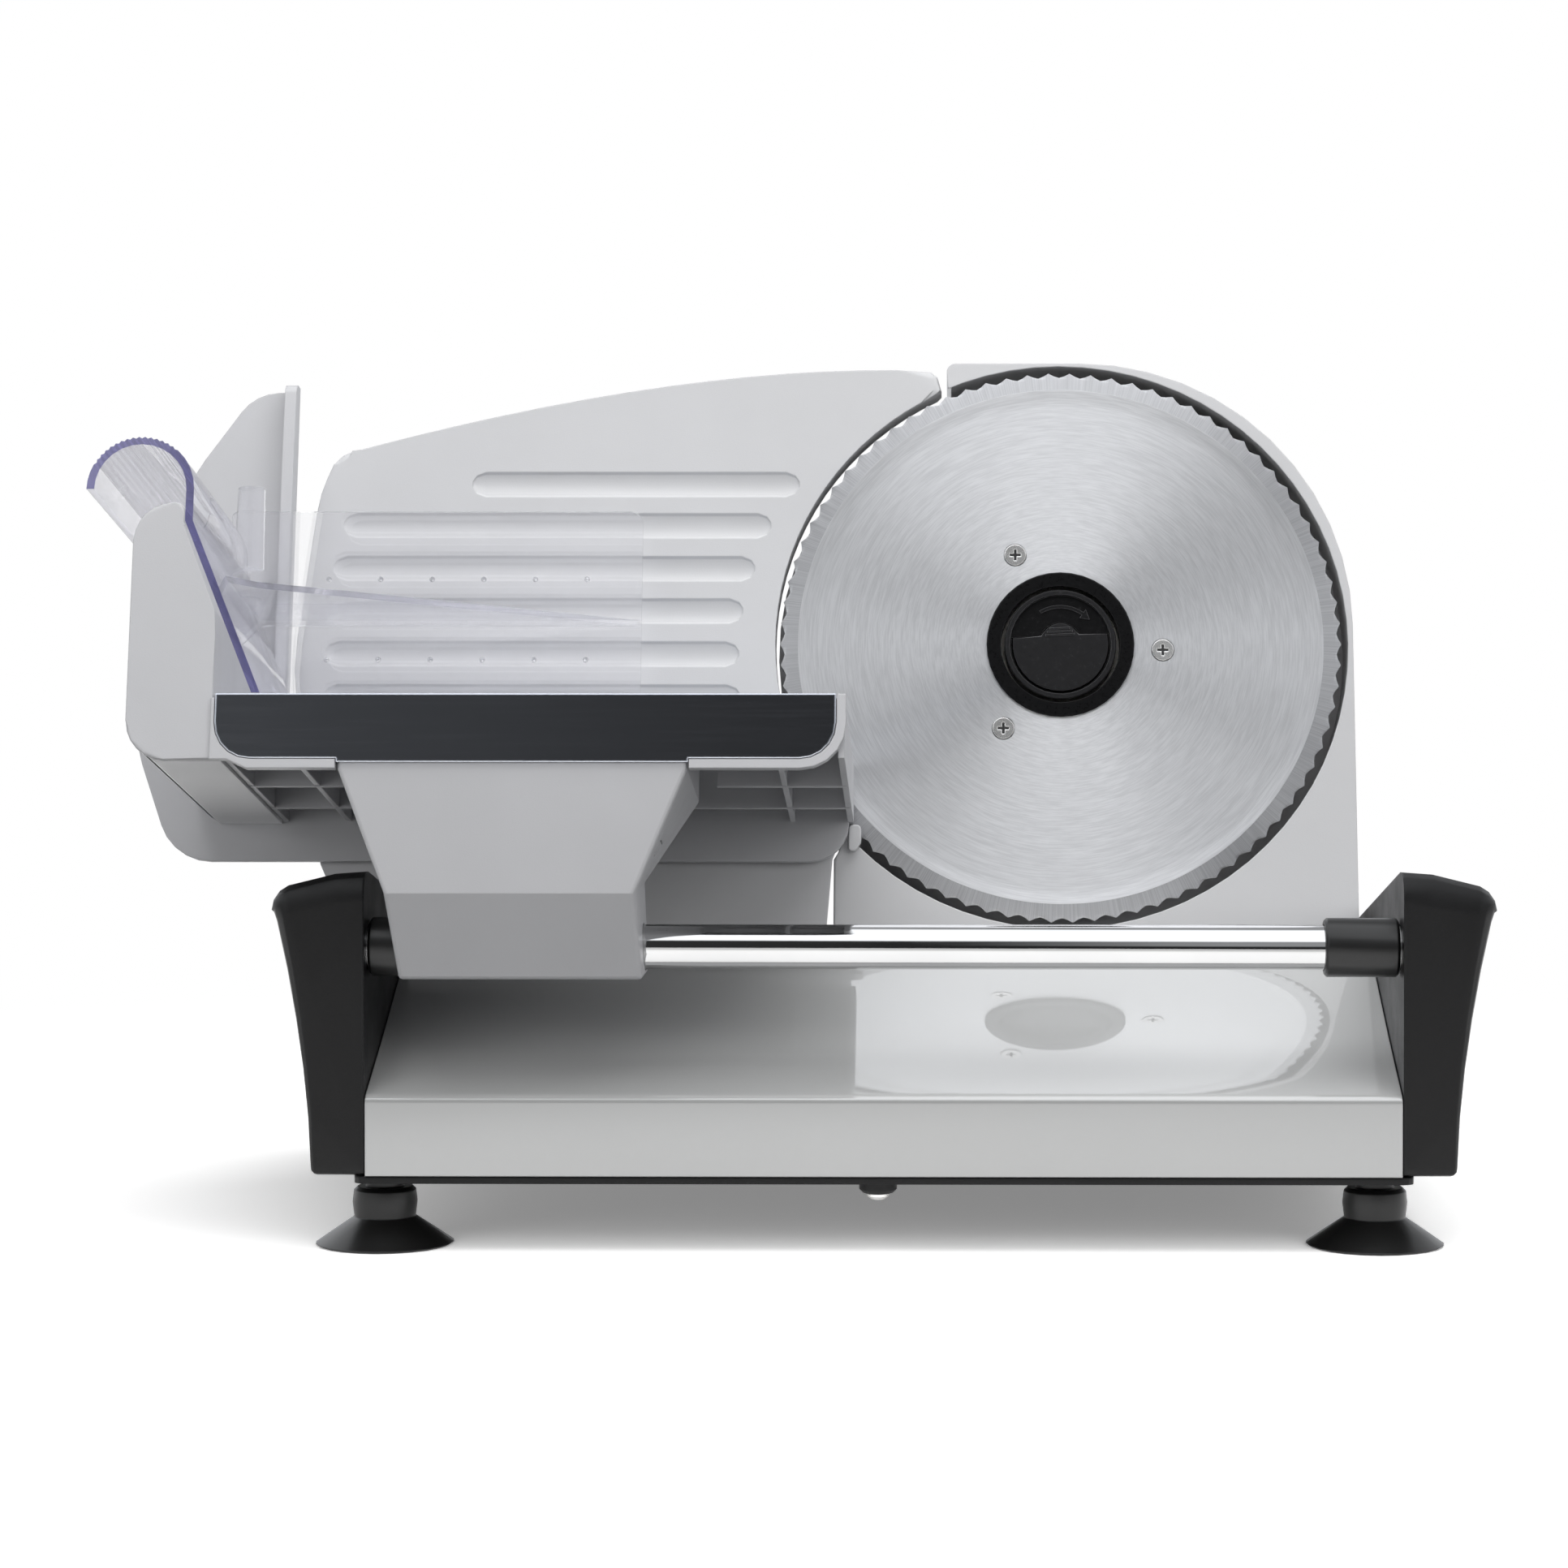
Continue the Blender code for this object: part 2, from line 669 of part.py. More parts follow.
def turned(profile, segments=32, axis="Y", centre=(0, 0)):
    """A solid of revolution. The profile holds (radius, along) points; radius 0 closes it on the axis."""
    shape = bmesh.new()
    rings = []
    for radius, along in profile:
        if radius == 0:
            rings.append([shape.verts.new(place(axis, *centre, along))])
            continue
        ring = []
        for i in range(segments):
            angle = math.tau * i / segments
            a = centre[0] + radius * math.cos(angle)
            b = centre[1] + radius * math.sin(angle)
            ring.append(shape.verts.new(place(axis, a, b, along)))
        rings.append(ring)
    closed = profile[0][0] > 0 and profile[-1][0] > 0
    pairs = list(zip(rings, rings[1:])) + ([(rings[-1], rings[0])] if closed else [])
    for first, second in pairs:
        for i in range(segments):
            j = (i + 1) % segments
            corners = [first[i % len(first)], first[j % len(first)]]
            corners += [second[j % len(second)], second[i % len(second)]]
            shape.faces.new(list(dict.fromkeys(corners)))
    return shape


def disc(radius, low, high, segments=32, axis="Y", centre=(0, 0)):
    return turned([(0, low), (radius, low), (radius, high), (0, high)], segments, axis, centre)


def tube(radius, bore, low, high, segments=32, axis="Y", centre=(0, 0)):
    profile = [(bore, low), (radius, low), (radius, high), (bore, high)]
    return turned(profile, segments, axis, centre)


def arc(centre, radius, start, end, steps):
    """Points on an arc between two angles in degrees."""
    angles = [math.radians(start + (end - start) * i / steps) for i in range(steps + 1)]
    return [(centre[0] + radius * math.cos(a), centre[1] + radius * math.sin(a)) for a in angles]


def curve(start, pull, end, steps):
    """Points on the quadratic curve from start to end that leans towards pull."""
    points = []
    for i in range(steps + 1):
        t = i / steps
        weights = ((1 - t) ** 2, 2 * t * (1 - t), t * t)
        points.append(tuple(sum(w * p[k] for w, p in zip(weights, (start, pull, end))) for k in (0, 1)))
    return points


def rounded(corners, degrees_per_step=18):
    """An outline through (a, b, radius) corners, with each corner replaced by an arc of its radius."""
    points = []
    for i, (x, y, radius) in enumerate(corners):
        here = Vector((x, y))
        if not radius:
            points.append((x, y))
            continue
        before = Vector(corners[i - 1][:2]) - here
        after = Vector(corners[(i + 1) % len(corners)][:2]) - here
        half = before.angle(after) / 2
        reach = radius / math.tan(half)
        centre = here + (before.normalized() + after.normalized()).normalized() * radius / math.sin(half)
        first = here + before.normalized() * reach - centre
        turn = first.angle_signed(here + after.normalized() * reach - centre)
        steps = max(2, round(math.degrees(abs(turn)) / degrees_per_step))
        for k in range(steps + 1):
            spoke = first.copy()
            spoke.rotate(Matrix.Rotation(-turn * k / steps, 2))
            points.append(tuple(centre + spoke))
    return points


def sharp(points):
    """Corners with no rounding, for use in an outline with rounded ones."""
    return [(a, b, 0) for a, b in points]


def inset(outline, distance):
    """The outline moved inwards by a distance, point by point."""
    count = len(outline)
    area = sum(
        outline[i][0] * outline[(i + 1) % count][1] - outline[(i + 1) % count][0] * outline[i][1]
        for i in range(count)
    )
    side = 1 if area > 0 else -1
    moved = []
    for i in range(count):
        here = Vector(outline[i])
        before = (here - Vector(outline[i - 1])).normalized()
        after = (Vector(outline[(i + 1) % count]) - here).normalized()
        normal_before = Vector((-before.y, before.x)) * side
        normal_after = Vector((-after.y, after.x)) * side
        mean = (normal_before + normal_after).normalized()
        moved.append(tuple(here + mean * distance / max(0.5, mean.dot(normal_after))))
    return moved


def toothed(rings, teeth, widths):
    """A disc whose outer rings carry teeth.

    Each ring is (along, radius) for a plain circle with one point per tooth, or (along, root, tip) for a
    toothed one. The widths give each point of a tooth as its place in the pitch and its share of the depth.
    """
    shape = bmesh.new()
    made = []
    for ring in rings:
        points = []
        for tooth in range(teeth):
            for where, share in widths if len(ring) == 3 else ((0.0, 0.0),):
                angle = math.tau * (tooth + where) / teeth
                radius = ring[1] + share * (ring[2] - ring[1]) if len(ring) == 3 else ring[1]
                place_at = (radius * math.cos(angle), ring[0], radius * math.sin(angle))
                points.append(shape.verts.new(place_at))
        made.append(points)
    for first, second in zip(made, made[1:] + made[:1]):
        a_step, b_step = len(first) // teeth, len(second) // teeth
        for tooth in range(teeth):
            a = [first[(tooth * a_step + k) % len(first)] for k in range(a_step + 1)]
            b = [second[(tooth * b_step + k) % len(second)] for k in range(b_step + 1)]
            if a_step == b_step:
                for k in range(a_step):
                    shape.faces.new((a[k], a[k + 1], b[k + 1], b[k]))
            else:
                shape.faces.new(a + b[::-1])
    return shape


def world_point(y, z):
    """The leaning-frame point of a world (y, z)."""
    dy, dz = y - FRAME_Y, z - FRAME_Z
    return dy * math.cos(LEAN) - dz * math.sin(LEAN), dy * math.sin(LEAN) + dz * math.cos(LEAN)


def leaning_point(y, z):
    """The world (y, z) of a leaning-frame point."""
    return (
        FRAME_Y + y * math.cos(LEAN) + z * math.sin(LEAN),
        FRAME_Z - y * math.sin(LEAN) + z * math.cos(LEAN),
    )


def base_profile():
    """The base's side view: low front wall, hollow rise to the ridge, and a rear deck along the lean."""
    ridge = leaning_point(DECK_FRONT_Y, DECK_Z)
    slope = math.tan(LEAN)
    back_top = ridge[1] - (BASE_BACK - ridge[0]) * slope
    middle = ((BASE_FRONT + ridge[0]) / 2, (BASE_FRONT_TOP + ridge[1]) / 2 - 2 * BASE_SAG)
    rise = curve((BASE_FRONT + BASE_BEND, BASE_FRONT_TOP), middle, ridge, 8)
    front = [(BASE_FRONT, BASE_BOTTOM), (BASE_FRONT, BASE_FRONT_TOP - BASE_BEND)]
    bend = curve(front[-1], (BASE_FRONT, BASE_FRONT_TOP - BASE_BEND / 4), rise[0], 3)[1:-1]
    rear = [(BASE_BACK - 2 * BASE_BEND, back_top), (BASE_BACK, back_top - 2 * BASE_BEND)]
    return front + bend + rise + rear + [(BASE_BACK, BASE_BOTTOM)]


def base_shell():
    outline = base_profile()
    shell = node("base_shell", prism(outline, BASE_LEFT, BASE_RIGHT, "X"), "grey_paint")
    hollow = inset(outline, BASE_WALL)
    hollow[0] = (hollow[0][0], BASE_BOTTOM - BASE_WALL)
    hollow[-1] = (hollow[-1][0], BASE_BOTTOM - BASE_WALL)
    cut(shell, prism(hollow, BASE_LEFT + BASE_WALL, BASE_RIGHT - BASE_WALL, "X"))


def bottom_plate():
    top = BASE_BOTTOM - SEAT_GAP
    low = top - PLATE_THICKNESS
    left, right = BASE_LEFT - PLATE_UNDER_CAP, BASE_RIGHT + PLATE_UNDER_CAP
    front, back = BASE_FRONT + PLATE_INSET, BASE_BACK - PLATE_INSET
    corners = [(x, y, FLOOR_CORNER) for x, y in ((left, front), (right, front), (right, back), (left, back))]
    plate = node("bottom_plate", prism(rounded(corners, 30), low, top, "Z"), "black_plastic")
    boss_at = ((BASE_LEFT + BASE_RIGHT) / 2 - BOSS_LEFT_OF_MIDDLE, BASE_FRONT + BOSS_BACK)
    boss_low = low - BOSS_DROP
    boss = [
        (0, boss_low),
        (BOSS_RADIUS - BOSS_SOFT, boss_low),
        (BOSS_RADIUS, boss_low + BOSS_SOFT),
        (BOSS_RADIUS, low + BOSS_SOFT),
        (0, low + BOSS_SOFT),
    ]
    fuse(plate, turned(boss, 16, "Z", boss_at))
    rim = boss_low - SEAT_GAP
    dome = [(0, rim)]
    for share, drop in ((1.0, 0.0), (0.92, 0.38), (0.54, 0.86), (0.0, 1.0)):
        dome.append((FLOOR_SCREW_RADIUS * share, rim - FLOOR_SCREW_DROP * drop))
    node("floor_screw", turned(dome[::-1], 16, "Z", boss_at), "zinc")


def feet():
    """Four suction feet: cup, collar and neck in one rubber moulding."""
    top = BASE_BOTTOM - SEAT_GAP - PLATE_THICKNESS - SEAT_GAP
    profile = [
        (0, FOOT_HOLLOW),
        (FOOT_HOLLOW_RADIUS, FOOT_HOLLOW * 0.75),
        (FOOT_CUP_RADIUS - FOOT_RIM_SOFT - FOOT_RIM_WIDTH, 0),
        (FOOT_CUP_RADIUS - FOOT_RIM_SOFT, 0),
        (FOOT_CUP_RADIUS, FOOT_RIM_SOFT * 0.6),
        (FOOT_WAIST_RADIUS, FOOT_WAIST_TOP),
        (FOOT_COLLAR_RADIUS - FOOT_COLLAR_SOFT / 3, FOOT_CUP_TOP),
        (FOOT_COLLAR_RADIUS, (FOOT_CUP_TOP + FOOT_COLLAR_TOP) / 2),
        (FOOT_COLLAR_RADIUS - FOOT_COLLAR_SOFT / 4, FOOT_COLLAR_TOP - FOOT_COLLAR_SOFT * 0.7),
        (FOOT_COLLAR_RADIUS - FOOT_COLLAR_SOFT, FOOT_COLLAR_TOP),
        (FOOT_NECK_RADIUS, FOOT_COLLAR_TOP),
        (FOOT_NECK_RADIUS, top),
        (0, top),
    ]
    for side, x in (("left", FOOT_LEFT_X), ("right", FOOT_RIGHT_X)):
        for end, y in (("front", FOOT_FRONT_Y), ("back", FOOT_BACK_Y)):
            node(f"suction_foot_{end}_{side}", turned(profile, 24, "Z"), "black_rubber", None, (x, y, 0))


def cap_edge(y, inwards, top, slope):
    """One upright edge of the cap's side view, from its foot to its rounded top."""
    low = BASE_BOTTOM
    corner = CAP_BOTTOM_CORNER
    foot = curve((y + inwards * corner, low), (y, low), (y, low + corner), 2)
    reach = CAP_TOP_CORNER
    crest = curve((y, top - reach), (y, top), (y + inwards * reach, top - inwards * reach * slope), 4)
    rise = crest[0][1] - foot[-1][1]
    return foot + [(y, foot[-1][1] + rise * share) for share in (0.2, 0.4, 0.6, 0.8)] + crest


def end_cap(side):
    """A black end cheek that flares upwards, with soft outer edges and a blind bore for the rod."""
    sign = -1 if side == "left" else 1
    inner = (BASE_LEFT - SEAT_GAP) if side == "left" else (BASE_RIGHT + SEAT_GAP)
    slope = (CAP_INNER_TOP - CAP_BACK_TOP) / (BASE_BACK - BASE_FRONT)
    outline = cap_edge(BASE_FRONT, 1, CAP_INNER_TOP, slope)
    outline += cap_edge(BASE_BACK, -1, CAP_BACK_TOP, slope)[::-1]
    smaller = inset(outline, CAP_INSET_STEP)
    sections = []
    for share, turn in ((0.0, 0), (0.4, 0), (1.0, 0), (1.0, 30), (1.0, 60), (1.0, 90)):
        ring = []
        for (y, z), (y_in, z_in) in zip(outline, smaller):
            height = (z - BASE_BOTTOM) / (CAP_INNER_TOP - BASE_BOTTOM)
            soft = CAP_LOW_ROUND + (CAP_HIGH_ROUND - CAP_LOW_ROUND) * height
            width = CAP_BOTTOM_WIDTH + (CAP_TOP_WIDTH - CAP_BOTTOM_WIDTH) * height**CAP_FLARE
            across = (width - soft) * share + soft * math.sin(math.radians(turn))
            drawn = soft * (1 - math.cos(math.radians(turn))) / CAP_INSET_STEP
            drop = CAP_OUTER_DROP * (across / width) ** 2 * height
            ring.append((inner + sign * across, y + (y_in - y) * drawn, z + (z_in - z) * drawn - drop))
        sections.append(ring)
    cap = node(f"{side}_end_cap", loft(sections, folded=True), "black_plastic")
    ends = (inner - sign * OVERLAP, inner + sign * CAP_BORE_DEPTH)
    cut(cap, disc(ROD_RADIUS + SEAT_GAP, min(ends), max(ends), 24, "X", (ROD_Y, ROD_Z)))


def slide_rod():
    reach = CAP_BORE_DEPTH - 2 * SEAT_GAP
    low, high = BASE_LEFT - reach, BASE_RIGHT + reach
    node("slide_rod", disc(ROD_RADIUS, low, high, 24, "X", (ROD_Y, ROD_Z)), "chrome")
    for side, low in (("left", BASE_LEFT + SEAT_GAP), ("right", BASE_RIGHT - SEAT_GAP - BUFFER_LENGTH)):
        high = low + BUFFER_LENGTH
        profile = [
            (ROD_RADIUS + SEAT_GAP, low),
            (BUFFER_RADIUS - BUFFER_SOFT, low),
            (BUFFER_RADIUS, low + BUFFER_SOFT),
            (BUFFER_RADIUS, high - BUFFER_SOFT),
            (BUFFER_RADIUS - BUFFER_SOFT, high),
            (ROD_RADIUS + SEAT_GAP, high),
        ]
        node(f"{side}_rod_buffer", turned(profile, 24, "X", (ROD_Y, ROD_Z)), "black_rubber")


def blade(axis):
    """Toothed disc: dished middle, ridge, ground bevel and rounded gullets between pointed teeth."""
    root = BLADE_RADIUS - TOOTH_DEPTH
    gullet = ((0.0, 1.0), (0.25, 0.38), (0.5, 0.0), (0.75, 0.38))
    foot = root - TOOTH_FOOT_GAP
    foot_along = BLADE_BEVEL * (foot - BLADE_RIDGE_RADIUS) / (BLADE_RADIUS - BLADE_RIDGE_RADIUS)
    rings = [
        (BLADE_DISH, BLADE_HOLE_RADIUS),
        (BLADE_DISH, BLADE_DISH_RADIUS),
        (BLADE_DISH * BLADE_RIDGE_FALL, BLADE_DISH_RADIUS * 0.38 + BLADE_RIDGE_RADIUS * 0.62),
        (0.0, BLADE_RIDGE_RADIUS),
        (foot_along, foot, foot),
        (BLADE_BEVEL, root, BLADE_RADIUS),
        (BLADE_BEVEL + BLADE_EDGE, root, BLADE_RADIUS),
        (BLADE_THICKNESS + BLADE_EDGE, BLADE_RIDGE_RADIUS - BLADE_BACK_STEP),
        (BLADE_BACK, BLADE_DISH_RADIUS - BLADE_BACK_STEP / 2),
        (BLADE_BACK, BLADE_HOLE_RADIUS),
    ]
    disc_node = node("blade", toothed(rings, BLADE_TEETH, gullet), "brushed_steel", axis)
    holes = []
    for angle in BLADE_SCREW_ANGLES:
        centre = screw_place(angle)
        head = SCREW_HEAD_RADIUS + SEAT_GAP
        profile = [
            (0, BLADE_DISH - OVERLAP),
            (head, BLADE_DISH - OVERLAP),
            (head, BLADE_DISH + SCREW_HEAD_RIM),
            (SCREW_SHANK_RADIUS + SEAT_GAP + OVERLAP, BLADE_BACK + OVERLAP),
            (0, BLADE_BACK + OVERLAP),
        ]
        holes.append(turned(profile, 16, "Y", centre))
    cut(disc_node, joined(holes))


def screw_place(angle):
    turn = math.radians(angle)
    return BLADE_SCREW_CIRCLE * math.cos(turn), BLADE_SCREW_CIRCLE * math.sin(turn)


def blade_screws(axis):
    """Countersunk cross-head screws through the blade into the gear."""
    for number, angle in enumerate(BLADE_SCREW_ANGLES, 1):
        top = BLADE_DISH - SCREW_SINK
        profile = [
            (0, top),
            (SCREW_HEAD_RADIUS, top),
            (SCREW_HEAD_RADIUS, top + SCREW_HEAD_RIM),
            (SCREW_SHANK_RADIUS, BLADE_BACK + SEAT_GAP),
            (SCREW_SHANK_RADIUS, top + SCREW_LENGTH),
            (0, top + SCREW_LENGTH),
        ]
        x, z = screw_place(angle)
        screw = node(f"blade_screw_{number}", turned(profile, 16), "zinc", axis, (x, 0, z))
        half, width = SCREW_CROSS_REACH, SCREW_CROSS_WIDTH
        quarter = [(half, -width), (half, width), (width, width)]
        turns = ((1, 0), (0, 1), (-1, 0), (0, -1))
        plus = [(a * c - b * s, a * s + b * c) for c, s in turns for a, b in quarter]
        cut(screw, prism(plus, top - SCREW_CROSS_DEPTH, top + SCREW_CROSS_DEPTH))


def tooth_shape(width=0.42):
    """Places in the pitch and shares of the depth of one straight-sided tooth, whose middle is at 0."""
    tip, foot = width * 0.30, width * 0.72
    return ((tip, 1.0), (foot, 0.0), (1 - foot, 0.0), (1 - tip, 1.0))


def spur_radii(pitch_radius):
    return pitch_radius - 1.2 * GEAR_MODULE, pitch_radius + 0.8 * GEAR_MODULE


def blade_gear(axis):
    root, tip = spur_radii(GEAR_PITCH_RADIUS)
    bore = SPINDLE_RADIUS + RUNNING_GAP
    pocket = HUB_SLEEVE_RADIUS + RUNNING_GAP
    pocket_floor = HUB_FACE + LOCK_DEPTH + LOCK_BACK_GAP
    rings = [
        (GEAR_FRONT, pocket),
        (GEAR_FRONT, GEAR_FLANGE_RADIUS),
        (GEAR_RIM_FRONT, GEAR_FLANGE_RADIUS),
        (GEAR_RIM_FRONT, root, tip),
        (GEAR_BACK, root, tip),
        (GEAR_BACK, bore),
        (pocket_floor, bore),
        (pocket_floor, pocket),
    ]
    gear = node("blade_gear", toothed(rings, GEAR_TEETH, tooth_shape()), "white_nylon", axis)
    bore, end = SCREW_SHANK_RADIUS + SEAT_GAP, BLADE_DISH + SCREW_LENGTH + RUNNING_GAP
    places = [screw_place(angle) for angle in BLADE_SCREW_ANGLES]
    cut(gear, joined([disc(bore, GEAR_FRONT - OVERLAP, end, 12, "Y", place_at) for place_at in places]))


def hub(axis):
    """Black ring round the lock disc: a thin flange on the blade and a sleeve through it."""
    flange_back = BLADE_DISH - SEAT_GAP
    profile = [
        (HUB_INNER_RADIUS, HUB_FACE),
        (HUB_RADIUS - LOCK_SOFT, HUB_FACE),
        (HUB_RADIUS, HUB_FACE + LOCK_SOFT),
        (HUB_RADIUS, flange_back),
        (HUB_SLEEVE_RADIUS, flange_back),
        (HUB_SLEEVE_RADIUS, HUB_FACE + LOCK_DEPTH),
        (HUB_INNER_RADIUS, HUB_FACE + LOCK_DEPTH),
    ]
    node("hub_ring", turned(profile, 40), "black_plastic", axis)


def tab_outline(grow=0.0):
    """The press tab's outline: a segment of a disc with a half-round bump on its straight side."""
    radius = TAB_RADIUS + grow
    top = TAB_TOP + grow
    start = 180 - math.degrees(math.asin(top / radius))
    bump = TAB_BUMP_RADIUS + grow
    bump_centre = TAB_BUMP_TOP - TAB_BUMP_RADIUS
    bump_half = math.degrees(math.asin((top - bump_centre) / bump))
    lower = arc((0, 0), radius, start, 540 - start, 18)
    upper = arc((0, bump_centre), bump, bump_half, 180 - bump_half, 8)
    return lower + upper


def lock(axis):
    """The quarter-turn lock disc, with a sunk upper face, a pocket for the press tab and a stem."""
    face = LOCK_FACE
    back = face + LOCK_DEPTH
    profile = [
        (0, face),
        (LOCK_RADIUS - LOCK_SOFT, face),
        (LOCK_RADIUS, face + LOCK_SOFT),
        (LOCK_RADIUS, back),
        (LOCK_STEM_RADIUS, back),
        (LOCK_STEM_RADIUS, back + LOCK_STEM_LENGTH),
        (0, back + LOCK_STEM_LENGTH),
    ]
    knob = node("lock_disc", turned(profile, 40), "black_plastic", axis)
    sunk_floor = face + LOCK_FACE_SINK
    pocket_floor = face + TAB_THICKNESS + TAB_TRAVEL + SEAT_GAP
    spring_end = pocket_floor + SPRING_LENGTH + SEAT_GAP
    spring_room = SPRING_RADIUS + SPRING_WIRE + SEAT_GAP
    cut(
        knob,
        disc(TAB_RADIUS + TAB_POCKET_RIM, face - OVERLAP, sunk_floor, 36),
        prism(tab_outline(RUNNING_GAP), face, pocket_floor),
        disc(spring_room, pocket_floor - OVERLAP, spring_end, 16, "Y", (0, SPRING_Z)),
    )
    fuse(knob, prism(arrow_outline(), sunk_floor - ARROW_HEIGHT, sunk_floor + LOCK_SOFT))
    coil(axis, pocket_floor)


def arrow_outline():
    """A curved turning arrow above the press tab."""
    half, head_half = ARROW_WIDTH / 2, ARROW_HEAD_WIDTH / 2
    outer = arc((0, 0), ARROW_RADIUS + half, ARROW_TAIL_ANGLE, ARROW_NECK_ANGLE, 8)
    inner = arc((0, 0), ARROW_RADIUS - half, ARROW_NECK_ANGLE, ARROW_TAIL_ANGLE, 8)
    head = [polar(ARROW_RADIUS + head_half, ARROW_NECK_ANGLE), polar(ARROW_RADIUS, ARROW_TIP_ANGLE)]
    head.append(polar(ARROW_RADIUS - head_half, ARROW_NECK_ANGLE))
    return outer + head + inner


def polar(radius, degrees):
    return radius * math.cos(math.radians(degrees)), radius * math.sin(math.radians(degrees))


def coil(axis, front):
    """The press tab's spring, drawn at its pressed length."""
    sides, per_turn = 6, 12
    steps = SPRING_TURNS * per_turn
    rings = []
    for i in range(steps + 1):
        turn = math.tau * i / per_turn
        along = front + SPRING_WIRE + (SPRING_LENGTH - 2 * SPRING_WIRE) * i / steps
        ring = []
        for k in range(sides):
            around = math.tau * k / sides
            radius = SPRING_RADIUS + SPRING_WIRE * math.cos(around)
            height = along + SPRING_WIRE * math.sin(around)
            ring.append((radius * math.cos(turn), height, SPRING_Z + radius * math.sin(turn)))
        rings.append(ring)
    node("press_spring", loft(rings), "zinc", axis)


def press_tab(axis):
    tab = node("press_tab", prism(tab_outline(), 0, TAB_THICKNESS, "Y", TAB_SOFT), "black_plastic", axis)
    tab.location = (0, LOCK_FACE, 0)
    ridges = []
    for z in TAB_RIDGES:
        bump_z = z - (TAB_BUMP_TOP - TAB_BUMP_RADIUS)
        half = math.sqrt(TAB_BUMP_RADIUS**2 - bump_z**2) - TAB_RIDGE_INSET
        rise = TAB_RIDGE_HEIGHT
        ridges.append(box((-half, -rise, z - rise), (half, rise, z + rise)))
    fuse(tab, joined(ridges))


def spindle(axis):
    front = HUB_FACE + LOCK_DEPTH + LOCK_BACK_GAP + SEAT_GAP
    flange = FLOOR_BACK + SEAT_GAP
    profile = [
        (SPINDLE_BORE_RADIUS, front),
        (SPINDLE_RADIUS - SPINDLE_SOFT, front),
        (SPINDLE_RADIUS, front + SPINDLE_SOFT),
        (SPINDLE_RADIUS, flange),
        (SPINDLE_FLANGE_RADIUS, flange),
        (SPINDLE_FLANGE_RADIUS, flange + SPINDLE_FLANGE_THICKNESS - SEAT_GAP),
        (SPINDLE_BORE_RADIUS, flange + SPINDLE_FLANGE_THICKNESS - SEAT_GAP),
    ]
    node("blade_spindle", turned(profile, 24), "zinc", axis)


def idler(axis):
    """Intermediate shaft: pinion in the recess, worm wheel behind its floor."""
    root, tip = spur_radii(PINION_PITCH_RADIUS)
    bore = IDLER_RADIUS + SEAT_GAP
    rings = [(GEAR_RIM_FRONT, bore), (GEAR_RIM_FRONT, root, tip), (GEAR_BACK, root, tip), (GEAR_BACK, bore)]
    shape = toothed(rings, PINION_TEETH, tooth_shape(0.40))
    gap_angle = math.tau * (round(PINION_TEETH / 4) - 0.5) / PINION_TEETH
    bmesh.ops.rotate(shape, verts=shape.verts, matrix=Matrix.Rotation(gap_angle - math.pi / 2, 3, "Y"))
    node("pinion", shape, "zinc", axis)
    low, high = MOTOR_Y - WHEEL_WIDTH / 2, MOTOR_Y + WHEEL_WIDTH / 2
    root, tip = WHEEL_PITCH_RADIUS - WHEEL_TOOTH_DEPTH, WHEEL_PITCH_RADIUS + WHEEL_TOOTH_DEPTH * 0.6
    rings = [(low, bore), (low, root, tip), (high, root, tip), (high, bore)]
    node("worm_wheel", toothed(rings, WHEEL_TEETH, tooth_shape(0.36)), "white_nylon", axis)
    shaft = disc(IDLER_RADIUS, GEAR_FRONT + OVERLAP, high + IDLER_BEHIND_WHEEL, 16)
    node("idler_shaft", shaft, "zinc", axis)


def worm_shaft(axis):
    """Motor shaft, and on it the single-start worm as a turned core with a winding thread."""
    shaft = disc(MOTOR_SHAFT_RADIUS, MOTOR_SHAFT_LEFT, MOTOR_SHAFT_RIGHT, 16, "X")
    node("motor_shaft", shaft, "zinc", axis)
    lead = math.tau * WHEEL_PITCH_RADIUS / WHEEL_TEETH
    steps_per_turn, sides = 6, 12
    count = round(WORM_LENGTH / lead * steps_per_turn)
    core, crest = WORM_PITCH_RADIUS - WORM_ROOT, WORM_PITCH_RADIUS + WORM_CREST
    bore = MOTOR_SHAFT_RADIUS + SEAT_GAP
    rings = []
    for i in range(count + 1):
        x = BLADE_X - WORM_LENGTH / 2 + i * lead / steps_per_turn
        ring = []
        for k in range(sides):
            turn = math.tau * k / sides
            along = ((x - BLADE_X) / lead - k / sides + 0.75) % 1
            height = max(0.0, 1 - abs(along - 0.5) / 0.22)
            radius = core + (crest - core) * min(1.0, 1.6 * height)
            ring.append((x, radius * math.cos(turn), radius * math.sin(turn)))
        rings.append(ring)
    shape = loft(rings)
    worm = node("worm", shape, "zinc", axis)
    cut(worm, disc(bore, BLADE_X - WORM_LENGTH, BLADE_X + WORM_LENGTH, 16, "X"))


